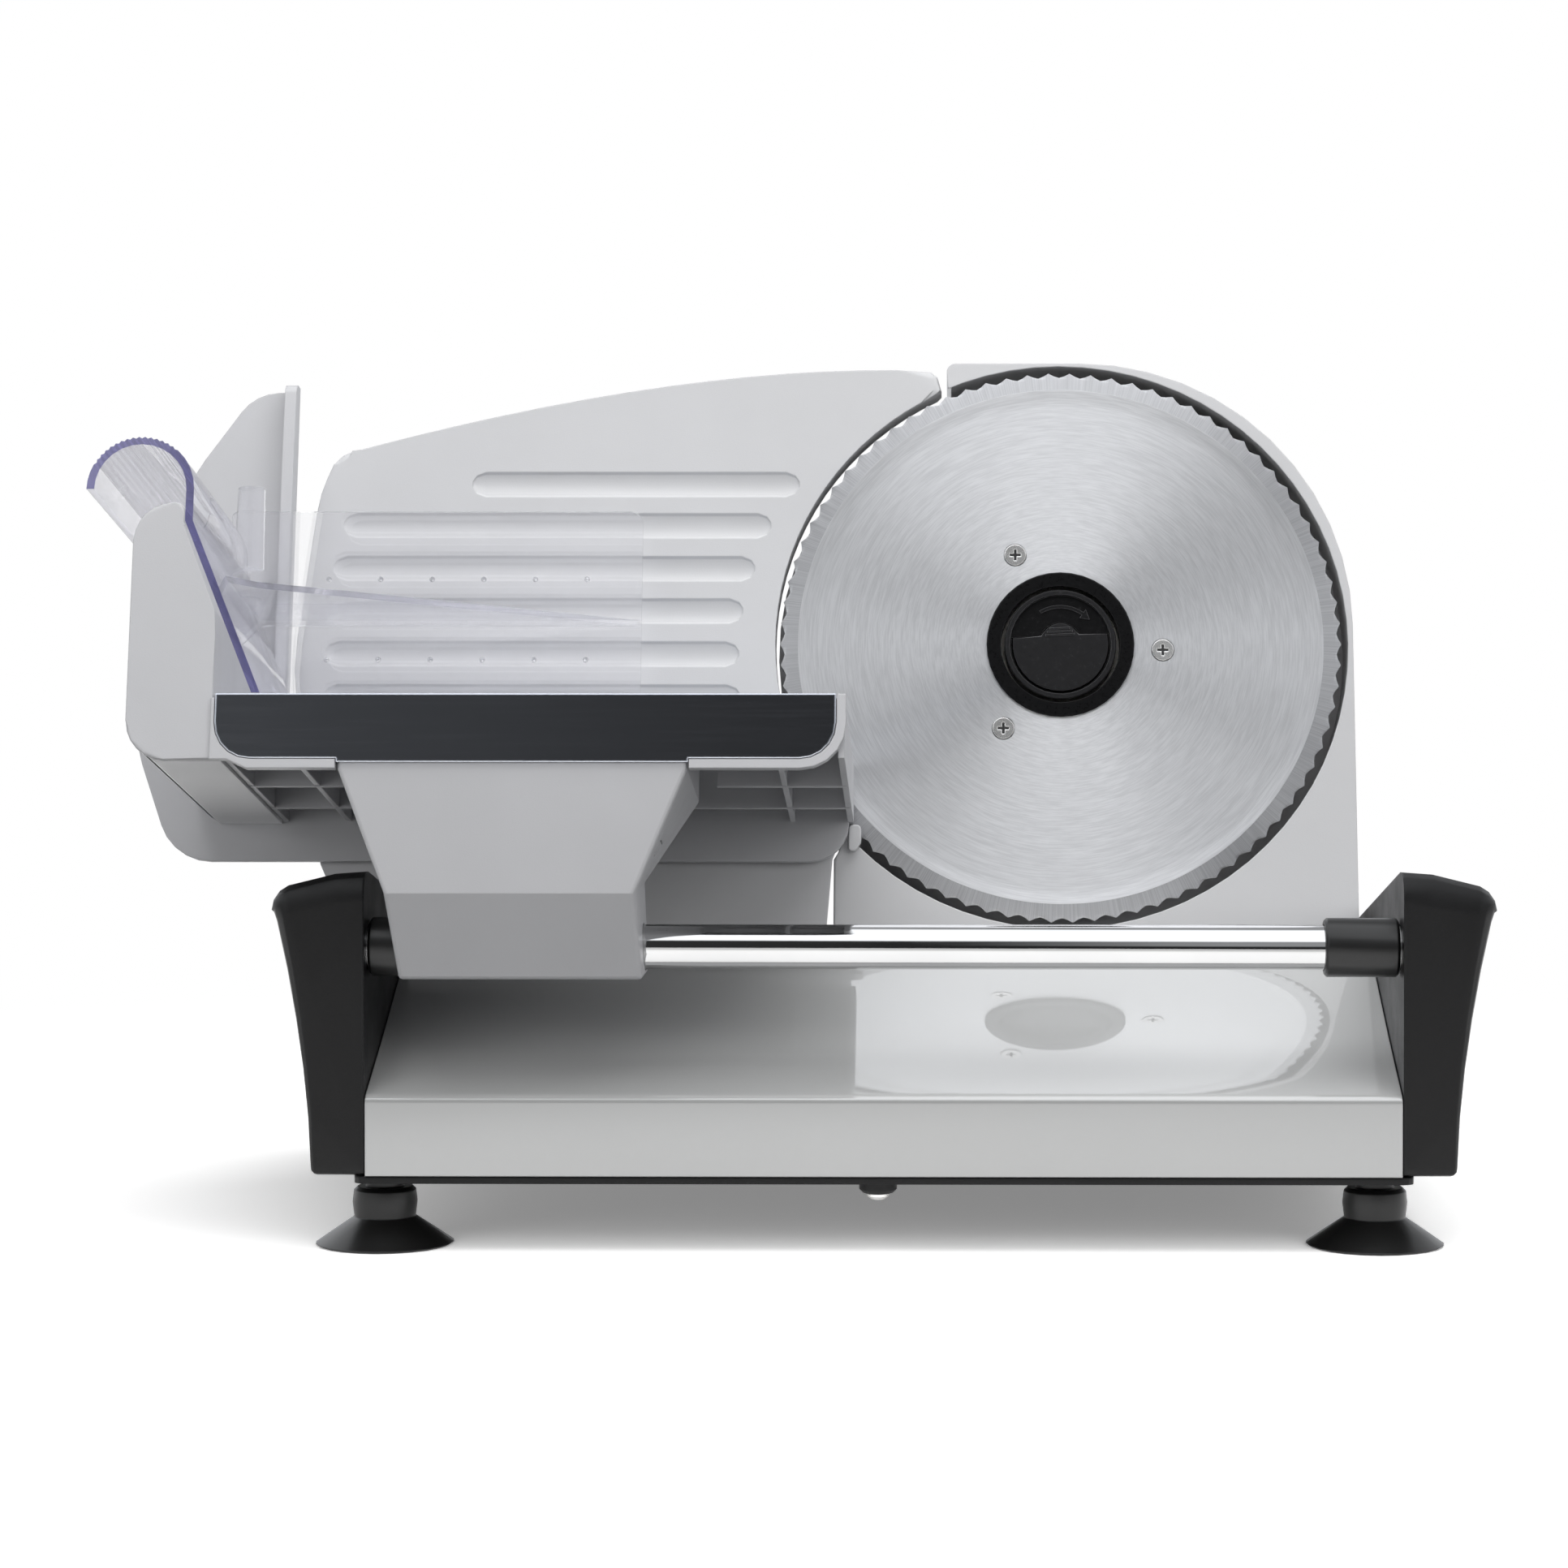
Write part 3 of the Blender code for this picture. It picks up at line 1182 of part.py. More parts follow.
def motor(parent, axis):
    """Stator block on the housing; armature and fan on the shaft; a bearing near each end of it."""
    low, high = STATOR_LEFT, STATOR_LEFT + STATOR_LENGTH
    half = STATOR_SIDE / 2
    corners = []
    for y, z in ((-half, -half), (half, -half), (half, half), (-half, half)):
        corners.append((MOTOR_Y + y, MOTOR_Z + z, STATOR_CORNER))
    stator = node("motor_stator", prism(rounded(corners, 30), low, high, "X"), "laminations", parent)
    middle = (MOTOR_Y, MOTOR_Z)
    cut(stator, disc(ARMATURE_RADIUS + RUNNING_GAP, low - OVERLAP, high + OVERLAP, 32, "X", middle))
    bore = MOTOR_SHAFT_RADIUS + SEAT_GAP
    node("armature", tube(ARMATURE_RADIUS, bore, low + OVERLAP, high - OVERLAP, 24, "X"), "copper", axis)
    fan_hub = tube(FAN_HUB_RADIUS, bore, FAN_X, FAN_X + FAN_WIDTH, 16, "X")
    fan = node("motor_fan", fan_hub, "black_plastic", axis)
    blades = []
    start, end = FAN_X + FAN_BLADE_INSET, FAN_X + FAN_WIDTH - FAN_BLADE_INSET
    sheet = FAN_BLADE_SHEET / 2
    for i in range(FAN_BLADES):
        shape = box((start, FAN_HUB_RADIUS - OVERLAP, -sheet), (end, FAN_RADIUS, sheet))
        bmesh.ops.rotate(shape, verts=shape.verts, matrix=Matrix.Rotation(math.tau * i / FAN_BLADES, 3, "X"))
        blades.append(shape)
    fuse(fan, joined(blades))
    for name, x in zip(("left", "right"), bearing_places()):
        ring = tube(BEARING_RADIUS, bore, x, x + BEARING_LENGTH, 20, "X", middle)
        node(f"motor_bearing_{name}", ring, "brass", parent)


def bearing_places():
    """Where each bearing starts along the motor shaft."""
    return MOTOR_SHAFT_LEFT + BEARING_INSET, MOTOR_SHAFT_RIGHT - BEARING_INSET - BEARING_LENGTH


def gear_bracket(parent):
    """Folded bracket behind the recess floor: bearing ears, stator pads and the idler's rear bridge."""
    front = FLOOR_BACK + SEAT_GAP
    back = front + BRACKET_SHEET
    root = back - OVERLAP
    plate = box((MOTOR_SHAFT_LEFT, front, IDLER_Z - BRACKET_DROP), (MOTOR_SHAFT_RIGHT, back, BRACKET_TOP))
    bracket = node("gear_bracket", plate, "zinc", parent)
    pieces = []
    for x in bearing_places():
        ear_end = (x + BEARING_LENGTH, MOTOR_Y + EAR_MARGIN, MOTOR_Z + EAR_MARGIN)
        pieces.append(box((x, root, MOTOR_Z - EAR_MARGIN), ear_end))
    pad_top = MOTOR_Y - STATOR_SIDE / 2 - SEAT_GAP
    for x in (STATOR_LEFT + PAD_INSET, STATOR_LEFT + STATOR_LENGTH - PAD_INSET - PAD_LENGTH):
        pieces.append(box((x, root, MOTOR_Z - PAD_DROP), (x + PAD_LENGTH, pad_top, MOTOR_Z + PAD_RISE)))
    low = IDLER_Z - WHEEL_PITCH_RADIUS - BRIDGE_CLEARANCE
    left, right = BLADE_X - BRIDGE_HALF, BLADE_X + BRIDGE_HALF
    bridge_front = MOTOR_Y + WHEEL_WIDTH / 2 + BRIDGE_GAP
    bridge_back = bridge_front + BRIDGE_SHEET
    pieces.append(box((left, root, low), (right, bridge_back, low + BRIDGE_FOOT)))
    fuse(bracket, joined(pieces))
    bridge_low = (left, bridge_front, low + BRIDGE_FOOT - OVERLAP)
    fuse(bracket, box(bridge_low, (right, bridge_back, IDLER_Z + BRIDGE_RISE)))
    hole = IDLER_RADIUS + SEAT_GAP
    bores = []
    for start, end in ((front, back), (bridge_front, bridge_back)):
        bores.append(disc(hole, start - OVERLAP, end + OVERLAP, 16, "Y", (BLADE_X, IDLER_Z)))
    for x in bearing_places():
        ends = (x - OVERLAP, x + BEARING_LENGTH + OVERLAP)
        bores.append(disc(BEARING_RADIUS + SEAT_GAP, *ends, 20, "X", (MOTOR_Y, MOTOR_Z)))
    cut(bracket, joined(bores))


def housing_outline():
    """Front view of the housing: straight left slot, round top right, straight right side and foot."""
    foot = DECK_Z + SEAT_GAP
    tip_x = BLADE_X - HOUSING_TIP_LEFT
    low_angle = GUIDE_ARC_END + 0.9
    high_angle = 180 - math.degrees(math.acos((HOUSING_TIP_LEFT - HOUSING_TIP_REACH) / HOUSING_LEFT_RADIUS))
    inner = arc((BLADE_X, 0), HOUSING_LEFT_RADIUS, low_angle, high_angle, 16)
    corners = [
        (tip_x, HOUSING_TOP, HOUSING_TIP_SOFT),
        (HOUSING_RIGHT, HOUSING_TOP, HOUSING_CORNER),
        (HOUSING_RIGHT, foot, HOUSING_FOOT_CORNER),
        (HOUSING_LEFT, foot, 0),
        (HOUSING_LEFT, GUIDE_HIP_Z - FRONT_STEP * 2, 0),
    ]
    return rounded(corners + sharp(inner), 7.5)


def cover_screw_places():
    low = DECK_Z + COVER_SCREW_RISE
    places = [(HOUSING_LEFT + COVER_SCREW_LEFT_IN, low), (HOUSING_RIGHT - COVER_SCREW_RIGHT_IN, low)]
    return places + [(BLADE_X + x, z) for x, z in COVER_SCREW_HIGH]


def housing(parent):
    """Hollow front casting: round recess with its floor, thin wall round the blade and screw posts."""
    outline = housing_outline()
    shell = node("motor_housing", prism(outline, 0, HOUSING_DEPTH, "Y", HOUSING_SOFT), "grey_paint", parent)
    centre = (BLADE_X, 0)
    inner = prism(inset(outline, HOUSING_WALL), HOUSING_WALL, HOUSING_DEPTH + OVERLAP)
    hollow = cut(shell, inner)[0]
    cut(hollow, disc(RECESS_RADIUS + HOUSING_WALL, -OVERLAP, FLOOR_BACK, 64, "Y", centre))
    cut(shell, disc(RECESS_RADIUS, -OVERLAP, RECESS_DEPTH, 72, "Y", centre))
    posts = []
    for x, z in cover_screw_places():
        behind_recess = math.hypot(x - BLADE_X, z) < RECESS_RADIUS
        start = (FLOOR_BACK if behind_recess else HOUSING_WALL) - OVERLAP / 2
        posts.append(disc(COVER_POST_RADIUS, start, HOUSING_DEPTH - SEAT_GAP, 12, "Y", (x, z)))
    fuse(shell, joined(posts))
    finger_tab(shell)
    floor = (RECESS_DEPTH - OVERLAP, FLOOR_BACK + OVERLAP)
    holes = [
        disc(SPINDLE_RADIUS + SEAT_GAP, *floor, 24, "Y", centre),
        disc(IDLER_RADIUS + SEAT_GAP, *floor, 12, "Y", (BLADE_X, IDLER_Z)),
    ]
    for place_at in cover_screw_places():
        start = HOUSING_DEPTH - COVER_SCREW_REACH - COVER_SOFT
        holes.append(disc(COVER_SCREW_PILOT, start, HOUSING_DEPTH + OVERLAP, 8, "Y", place_at))
    cut(shell, joined(holes))


def finger_tab(shell):
    """A small tab that reaches in front of the teeth at the lower left, on a short root."""
    left = HOUSING_LEFT + FINGER_TAB_IN
    right = left + FINGER_TAB_WIDTH
    low = GUIDE_HIP_Z + FINGER_TAB_UP
    top = low + FINGER_TAB_HEIGHT
    shoulder = low + FINGER_TAB_FOOT
    behind = FINGER_TAB_SHEET - FINGER_TAB_PROUD
    edge = FINGER_TAB_PROUD / 6
    root = [(left + edge, shoulder), (right - 4 * edge, shoulder - edge), (right - 4 * edge, low + edge / 2)]
    fuse(shell, prism(root + [(left + edge, low + edge / 2)], behind - OVERLAP / 10, OVERLAP))
    corners = [
        (left, top, FINGER_TAB_SHEET),
        (right, top, FINGER_TAB_SHEET),
        (right, shoulder, OVERLAP),
        (right - FINGER_TAB_SHEET, low, OVERLAP),
        (left, low, OVERLAP),
    ]
    fuse(shell, prism(rounded(corners, 30), -FINGER_TAB_PROUD, behind, "Y", LOCK_SOFT))


def bulge_outline():
    foot = DECK_Z + SEAT_GAP + HOUSING_WALL
    corners = [(x, foot, BULGE_FOOT_CORNER) for x in (BULGE_LEFT, BULGE_RIGHT)]
    corners += [(x, BULGE_TOP, BULGE_CORNER) for x in (BULGE_RIGHT, BULGE_LEFT)]
    return rounded(corners, 22.5)


def rear_cover(parent):
    """Back of the housing: shallow tray with the motor bulge, vent slots, switch and gland openings."""
    outline = housing_outline()
    shape = prism(outline, COVER_FRONT, COVER_BACK, "Y", COVER_SOFT, "high")
    cover = node("rear_cover", shape, "grey_paint", parent)
    fuse(cover, prism(bulge_outline(), COVER_BACK - OVERLAP, BULGE_BACK, "Y", BULGE_SOFT, "high"))
    cut(cover, prism(inset(outline, HOUSING_WALL), COVER_FRONT - OVERLAP, COVER_BACK - HOUSING_WALL))
    passage = COVER_BACK - HOUSING_WALL - OVERLAP
    cut(cover, prism(inset(bulge_outline(), HOUSING_WALL), passage, BULGE_BACK - HOUSING_WALL))
    posts = []
    for place_at in cover_screw_places():
        posts.append(disc(COVER_POST_RADIUS, COVER_FRONT, COVER_BACK - OVERLAP, 16, "Y", place_at))
    fuse(cover, joined(posts))
    cut(cover, joined(vent_slots() + cover_openings()))
    for number, place_at in enumerate(cover_screw_places(), 1):
        cover_screw(parent, number, place_at)


def vent_slots():
    middle = (BULGE_LEFT + BULGE_RIGHT) / 2
    ends = (BULGE_BACK - HOUSING_WALL - OVERLAP, BULGE_BACK + OVERLAP)
    slots = []
    for i in range(VENT_COUNT):
        x = middle + (i - (VENT_COUNT - 1) / 2) * VENT_PITCH
        slots.append(box((x - VENT_WIDTH / 2, ends[0], VENT_LOW), (x + VENT_WIDTH / 2, ends[1], VENT_HIGH)))
    return slots


def cover_openings():
    """Cutters for the screws, the switch and the cord gland."""
    shapes = []
    for place_at in cover_screw_places():
        shapes.append(disc(COVER_SCREW_HOLE, COVER_FRONT - OVERLAP, COVER_BACK + OVERLAP, 12, "Y", place_at))
    half_w, half_h = SWITCH_WIDTH / 2 + SEAT_GAP, SWITCH_HEIGHT / 2 + SEAT_GAP
    front, back = COVER_BACK - HOUSING_WALL - OVERLAP, COVER_BACK + OVERLAP
    low = (SWITCH_X - half_w, front, SWITCH_Z - half_h)
    shapes.append(box(low, (SWITCH_X + half_w, back, SWITCH_Z + half_h)))
    gland_ends = (BULGE_BACK - HOUSING_WALL - OVERLAP, BULGE_BACK + OVERLAP)
    shapes.append(disc(GLAND_RADIUS + SEAT_GAP, *gland_ends, 20, "Y", (GLAND_X, GLAND_Z)))
    return shapes


def cover_screw(parent, number, place_at):
    head = COVER_BACK + SEAT_GAP
    end = HOUSING_DEPTH - COVER_SCREW_REACH
    profile = [
        (0, end),
        (COVER_SCREW_SHANK, end),
        (COVER_SCREW_SHANK, head),
        (COVER_SCREW_RADIUS, head),
        (COVER_SCREW_RADIUS, head + COVER_SCREW_HEAD * 0.4),
        (COVER_SCREW_RADIUS * 0.63, head + COVER_SCREW_HEAD * 0.95),
        (0, head + COVER_SCREW_HEAD),
    ]
    node(f"cover_screw_{number}", turned(profile, 12, "Y"), "zinc", parent, (place_at[0], 0, place_at[1]))


def switch(parent):
    """A rocker in its bezel, on the upper back of the housing."""
    half_w, half_h = SWITCH_WIDTH / 2, SWITCH_HEIGHT / 2
    face = COVER_BACK + SEAT_GAP
    rim_w, rim_h = half_w + SWITCH_RIM, half_h + SWITCH_RIM
    corners = []
    for x, z in ((-1, -1), (1, -1), (1, 1), (-1, 1)):
        corners.append((SWITCH_X + x * rim_w, SWITCH_Z + z * rim_h, SWITCH_RIM_CORNER))
    rim = prism(rounded(corners, 45), face, face + SWITCH_RIM_PROUD, "Y", SWITCH_RIM_SOFT, "high")
    bezel = node("switch_bezel", rim, "black_plastic", parent)
    left, right = SWITCH_X - half_w, SWITCH_X + half_w
    low, high = SWITCH_Z - half_h, SWITCH_Z + half_h
    wall = SWITCH_WALL
    fuse(bezel, box((left, face - SWITCH_DEPTH, low), (right, face + OVERLAP, high)))
    inside = (left + wall, face - SWITCH_DEPTH + wall, low + wall)
    cut(bezel, box(inside, (right - wall, face + 2 * SWITCH_RIM_PROUD, high - wall)))
    pivot = empty("rocker_pivot", parent, (SWITCH_X, face - ROCKER_SINK, SWITCH_Z), (ROCKER_TILT, 0, 0))
    half_w -= wall + RUNNING_GAP
    half_h -= wall + 2 * RUNNING_GAP
    outline = [
        (-ROCKER_BACK, -half_h),
        (ROCKER_EDGE, -half_h),
        (ROCKER_CREST, -half_h * 0.4),
        (ROCKER_WAIST, 0),
        (ROCKER_CREST, half_h * 0.4),
        (ROCKER_EDGE, half_h),
        (-ROCKER_BACK, half_h),
    ]
    node("switch_rocker", prism(outline, -half_w, half_w, "X"), "black_plastic", pivot)


def cord_gland(parent):
    face = BULGE_BACK + SEAT_GAP
    inside = BULGE_BACK - GLAND_INSIDE
    profile = [
        (GLAND_BORE_RADIUS, inside),
        (GLAND_RADIUS, inside),
        (GLAND_RADIUS, face),
        (GLAND_RADIUS + GLAND_COLLAR, face),
        (GLAND_RADIUS + GLAND_COLLAR, face + GLAND_COLLAR),
        (GLAND_RADIUS - GLAND_TAPER / 4, face + GLAND_COLLAR * 1.5),
        (GLAND_RADIUS - GLAND_TAPER, face + GLAND_LENGTH),
        (GLAND_BORE_RADIUS, face + GLAND_LENGTH),
    ]
    node("cord_gland", turned(profile, 20, "Y", (GLAND_X, GLAND_Z)), "black_rubber", parent)


def guide_outline():
    """Front view of the thickness plate: swept top, soft left side and a concave edge round the blade."""
    top = curve(GUIDE_TOP_START, GUIDE_TOP_PULL, (GUIDE_TIP_X - GUIDE_TIP_END, GUIDE_TIP_TOP), 14)
    right_angle = 180 - math.degrees(math.acos(GUIDE_TIP_LEFT / GUIDE_ARC_RADIUS))
    inner = arc((BLADE_X, 0), GUIDE_ARC_RADIUS, right_angle, GUIDE_ARC_END, 28)
    tip = [(GUIDE_TIP_X, GUIDE_TIP_TOP - GUIDE_TIP_SOFT)]
    tip.append((GUIDE_TIP_X + GUIDE_TIP_LEAN[0], inner[0][1] + GUIDE_TIP_LEAN[1]))
    foot_x = BASE_LEFT + GUIDE_FOOT_INSET
    corners = [
        (GUIDE_RIGHT, GUIDE_HIP_Z, 0),
        (GUIDE_RIGHT, GUIDE_BOTTOM, GUIDE_WALL + OVERLAP),
        (foot_x, GUIDE_BOTTOM, GUIDE_FOOT_CORNER),
        (foot_x, GUIDE_OVER_CAP, GUIDE_FOOT_CORNER / 2),
        (BASE_LEFT - GUIDE_CAP_REACH, GUIDE_OVER_CAP + OVERLAP, GUIDE_FOOT_CORNER + GUIDE_WALL),
    ]
    return rounded(sharp(top + tip + inner) + corners + list(GUIDE_LEFT_SIDE), 12)


def thickness_plate(axis):
    outline = guide_outline()
    back = GUIDE_FRONT_Y + GUIDE_DEPTH
    plate = node("thickness_plate", prism(outline, GUIDE_FRONT_Y, back, "Y", GUIDE_SOFT), "grey_paint", axis)
    cut(plate, prism(inset(outline, GUIDE_WALL), GUIDE_FRONT_Y + GUIDE_WALL + GROOVE_DEPTH, back + OVERLAP))
    cut(plate, joined([groove(*where) for where in GROOVES]))


def groove(left, right, z):
    """A shallow trough with rounded ends, a flattened capsule laid along X."""
    half, depth = GROOVE_WIDTH / 2, GROOVE_DEPTH
    stations = [(left, 0.25), (left + half * 0.3, 0.72), (left + half, 1.0)]
    stations += [(right - half, 1.0), (right - half * 0.3, 0.72), (right, 0.25)]
    rings = []
    for x, share in stations:
        ring = []
        for i in range(10):
            turn = math.tau * i / 10
            y = GUIDE_FRONT_Y + depth * (share * math.sin(turn) - 1 / 16)
            ring.append((x, y, z + half * share * math.cos(turn)))
        rings.append(ring)
    return loft(rings)


def thickness_drive(parent, axis, knob_axis):
    """Nut boss and guide pins on the plate, bracket on the base, and the knob's coarse screw."""
    seat = GUIDE_FRONT_Y + GUIDE_WALL + GROOVE_DEPTH + SEAT_GAP
    middle = (DRIVE_X, DRIVE_Z)
    base_back = seat + NUT_BASE
    bore = DRIVE_SCREW_RADIUS + RUNNING_GAP
    boss = tube(NUT_RADIUS, bore, base_back - OVERLAP / 2, seat + NUT_LENGTH, 20, "Y", middle)
    nut = node("drive_nut", boss, "brass", axis)
    low = (DRIVE_X - NUT_BASE_HALF, seat, DRIVE_Z - NUT_BASE_DROP)
    fuse(nut, box(low, (DRIVE_X + NUT_BASE_HALF, base_back, DRIVE_Z + NUT_BASE_RISE)))
    bracket_front = seat + NUT_LENGTH + GUIDE_TRAVEL + GUIDE_STOP_GAP
    bracket_back = bracket_front + GUIDE_BRACKET_THICKNESS
    pins = [(DRIVE_X + side * GUIDE_PIN_SPREAD, DRIVE_Z + GUIDE_PIN_RISE) for side in (-1, 1)]
    for side, centre in zip(("left", "right"), pins):
        pin = disc(GUIDE_PIN_RADIUS, base_back + SEAT_GAP, bracket_back + GUIDE_PIN_SPARE, 16, "Y", centre)
        node(f"guide_pin_{side}", pin, "zinc", axis)
    thickness_bracket(parent, bracket_front, bracket_back, pins)
    knob_front = bracket_back + SEAT_GAP
    screw_front = base_back + GUIDE_TRAVEL + DRIVE_END_GAP
    screw = disc(DRIVE_SCREW_RADIUS, screw_front, knob_front + KNOB_DEPTH * KNOB_BORE_SHARE, 20)
    node("drive_screw", screw, "zinc", knob_axis)
    knob_shape(knob_axis, knob_front)


def thickness_bracket(parent, front, back, pins):
    """Upright block on the base's deck, bored for the guide pins and the drive screw."""
    foot = DECK_Z + SEAT_GAP
    half, half_top = GUIDE_BRACKET_HALF, GUIDE_BRACKET_HALF - GUIDE_BRACKET_TAPER
    top = DRIVE_Z + GUIDE_PIN_RISE + GUIDE_PIN_MARGIN
    corners = [
        (DRIVE_X - half, foot, 0),
        (DRIVE_X + half, foot, 0),
        (DRIVE_X + half_top, top, GUIDE_BRACKET_CORNER),
        (DRIVE_X - half_top, top, GUIDE_BRACKET_CORNER),
    ]
    bracket = node("thickness_bracket", prism(rounded(corners), front, back), "black_plastic", parent)
    low = (DRIVE_X - half, front - GUIDE_BRACKET_TOE, foot)
    fuse(bracket, box(low, (DRIVE_X + half, back + GUIDE_BRACKET_HEEL, foot + GUIDE_BRACKET_FOOT)))
    ends = (front - OVERLAP, back + OVERLAP)
    bores = [disc(GUIDE_PIN_RADIUS + SEAT_GAP, *ends, 16, "Y", centre) for centre in pins]
    bores.append(disc(DRIVE_SCREW_RADIUS + SEAT_GAP, *ends, 20, "Y", (DRIVE_X, DRIVE_Z)))
    cut(bracket, joined(bores))


def knob_shape(axis, front):
    """Fluted knob with a raised finger bar and a blind bore for the screw."""
    outline = []
    pitch = 360 / KNOB_FLUTES
    for i in range(KNOB_FLUTES):
        for shares, depth in ((KNOB_TIP_SHARES, 0), (KNOB_GULLET_SHARES, KNOB_FLUTE_DEPTH)):
            start, end = [pitch * (i + share) for share in shares]
            outline += arc((0, 0), KNOB_RADIUS - depth, start, end, 1)
    skirt = prism(outline, front, front + KNOB_DEPTH * KNOB_SKIRT_SHARE)
    knob = node("thickness_knob", skirt, "black_plastic", axis)
    corners = []
    for x, z in ((-1, -1), (1, -1), (1, 1), (-1, 1)):
        corners.append((x * KNOB_BAR_HALF, z * KNOB_BAR_REACH, KNOB_BAR_CORNER))
    bar_front = front + KNOB_DEPTH * KNOB_BAR_SHARE
    fuse(knob, prism(rounded(corners, 30), bar_front, front + KNOB_DEPTH, "Y", KNOB_BAR_SOFT, "high"))
    bore_end = front + KNOB_DEPTH * KNOB_BORE_SHARE + SEAT_GAP
    cut(knob, disc(DRIVE_SCREW_RADIUS + SEAT_GAP, front - OVERLAP, bore_end, 20))


def tray_plate(axis):
    """Polished sheet: flat tray, turned-down front lip with round lower corners, and its centre tab."""
    notch_x = WING_RIB_RIGHT + SEAT_GAP * 2
    notch_y = GUARD_FRONT - WING_RIB_DEPTH - SEAT_GAP
    outline = [
        (TRAY_LEFT, TRAY_FRONT),
        (TRAY_RIGHT, TRAY_FRONT),
        (TRAY_RIGHT, TRAY_BACK),
        (notch_x, TRAY_BACK),
        (notch_x, notch_y),
        (TRAY_LEFT, notch_y),
    ]
    tray = node("tray_plate", prism(outline, TRAY_UNDER, TRAY_TOP, "Z"), "polished_steel", axis)
    fuse(tray, prism(lip_outline(), TRAY_FRONT, TRAY_FRONT + TRAY_SHEET))


def lip_outline(grow=0.0):
    left, right, low = TRAY_LEFT - grow, TRAY_RIGHT + grow, LIP_BOTTOM - grow
    corners = [
        (left, TRAY_TOP, 0),
        (left, low, LIP_CORNER + grow),
        (TAB_LEFT, low, 0),
        (TAB_LEFT, low - LIP_TAB_DROP, 0),
        (TAB_RIGHT, low - LIP_TAB_DROP, 0),
        (TAB_RIGHT, low, 0),
        (right, low, LIP_CORNER + grow),
        (right, TRAY_TOP, 0),
    ]
    return rounded(corners)


def fence_outline():
    low = LIP_BOTTOM - SEAT_GAP
    inner = TRAY_LEFT - SEAT_GAP - FENCE_STEP
    side = ARCH_RIGHT - PUSHER_SHEET - RUNNING_GAP
    corners = [
        (FENCE_LEFT, low, FENCE_LOW_CORNER),
        (FENCE_LEFT, FENCE_TOP, FENCE_HIGH_CORNER),
        (side, FENCE_TOP, FENCE_WALL + FENCE_STEP),
        (side, PUSHER_KNEE_Z - OVERLAP, FENCE_KNEE_CORNER),
        FENCE_KNEE,
        (inner, FENCE_STEP_Z, 0),
        (inner, low, 0),
    ]
    return rounded(corners, 15)


def guard_outline():
    """Back guard: apron under the tray and the tall wing at the left."""
    right = TRAY_RIGHT + GUARD_REACH
    corners = [(WING_RIB_RIGHT, TRAY_TOP, 0), (WING_RIB_RIGHT, WING_TOP, WING_CORNER), WING_TIP, *WING_SIDE]
    corners += [(WING_FOOT[0], GUARD_BOTTOM, WING_FOOT[1]), (right, GUARD_BOTTOM, GUARD_CORNER)]
    corners.append((right, TRAY_TOP, 0))
    return rounded(corners, 15)


def carriage_frame(axis):
    """Moulded carriage body: front rim, deck with crossing ribs, back guard with its wing, and the fence."""
    right = TRAY_RIGHT + SEAT_GAP + RIM
    left = TRAY_LEFT - SEAT_GAP
    rim_back = TRAY_FRONT + FRONT_RIM_DEPTH
    deck_low = (left - OVERLAP, rim_back - OVERLAP / 2, DECK_UNDER)
    deck = box(deck_low, (right - SIDE_WALL * 0.6, GUARD_BACK - OVERLAP, DECK_TOP))
    frame = node("carriage_frame", deck, "grey_plastic", axis)
    front_rim(frame, left, right, rim_back)
    side_low = (right - SIDE_STEP - SIDE_WALL, rim_back - OVERLAP, RIB_BOTTOM)
    fuse(frame, box(side_low, (right - SIDE_STEP, GUARD_FRONT + OVERLAP * 0.8, TRAY_UNDER)))
    fuse(frame, prism(guard_outline(), GUARD_FRONT, GUARD_BACK))
    underside_ribs(frame, right, rim_back)
    wing_rib(frame)
    outline = fence_outline()
    fence_front = TRAY_FRONT + OVERLAP
    fuse(frame, prism(outline, fence_front, GUARD_FRONT + OVERLAP / 2, "Y", FENCE_SOFT))
    cavity = []
    for x, z in inset(outline, FENCE_WALL):
        cavity.append((x, z) if z > LIP_BOTTOM + 2 * FENCE_WALL else (x, LIP_BOTTOM - 3 * OVERLAP))
    cut(frame, prism(cavity, fence_front + FENCE_WALL, GUARD_FRONT - OVERLAP / 2))


def front_rim(frame, left, right, rim_back):
    """Rim that frames the tray's lip on the right and below, open where the lip's centre tab hangs."""
    low = LIP_BOTTOM - SEAT_GAP - RIM
    seat = LIP_BOTTOM - SEAT_GAP
    inner = right - RIM + FRONT_STEP
    corners = [
        (left - OVERLAP, DECK_TOP, 0),
        (left - OVERLAP, seat, 0),
        (TRAY_LEFT + RIM_RAMP[0], seat, 0),
        (TRAY_LEFT + RIM_RAMP[1], low, 0),
        (right, low, LIP_CORNER + RIM),
        (right, TRAY_TOP, 0),
        (inner, TRAY_TOP, 0),
        (inner, DECK_TOP, 0),
    ]
    fuse(frame, prism(rounded(corners), TRAY_FRONT + FRONT_STEP, rim_back))
    pocket = prism(lip_outline(SEAT_GAP), TRAY_FRONT - OVERLAP, TRAY_FRONT + TRAY_SHEET + SEAT_GAP)
    gap_low = (TAB_LEFT - SEAT_GAP, TRAY_FRONT - OVERLAP, low - OVERLAP)
    gap = box(gap_low, (TAB_RIGHT + SEAT_GAP, rim_back + OVERLAP, DECK_UNDER - SEAT_GAP))
    cut(frame, pocket, gap)


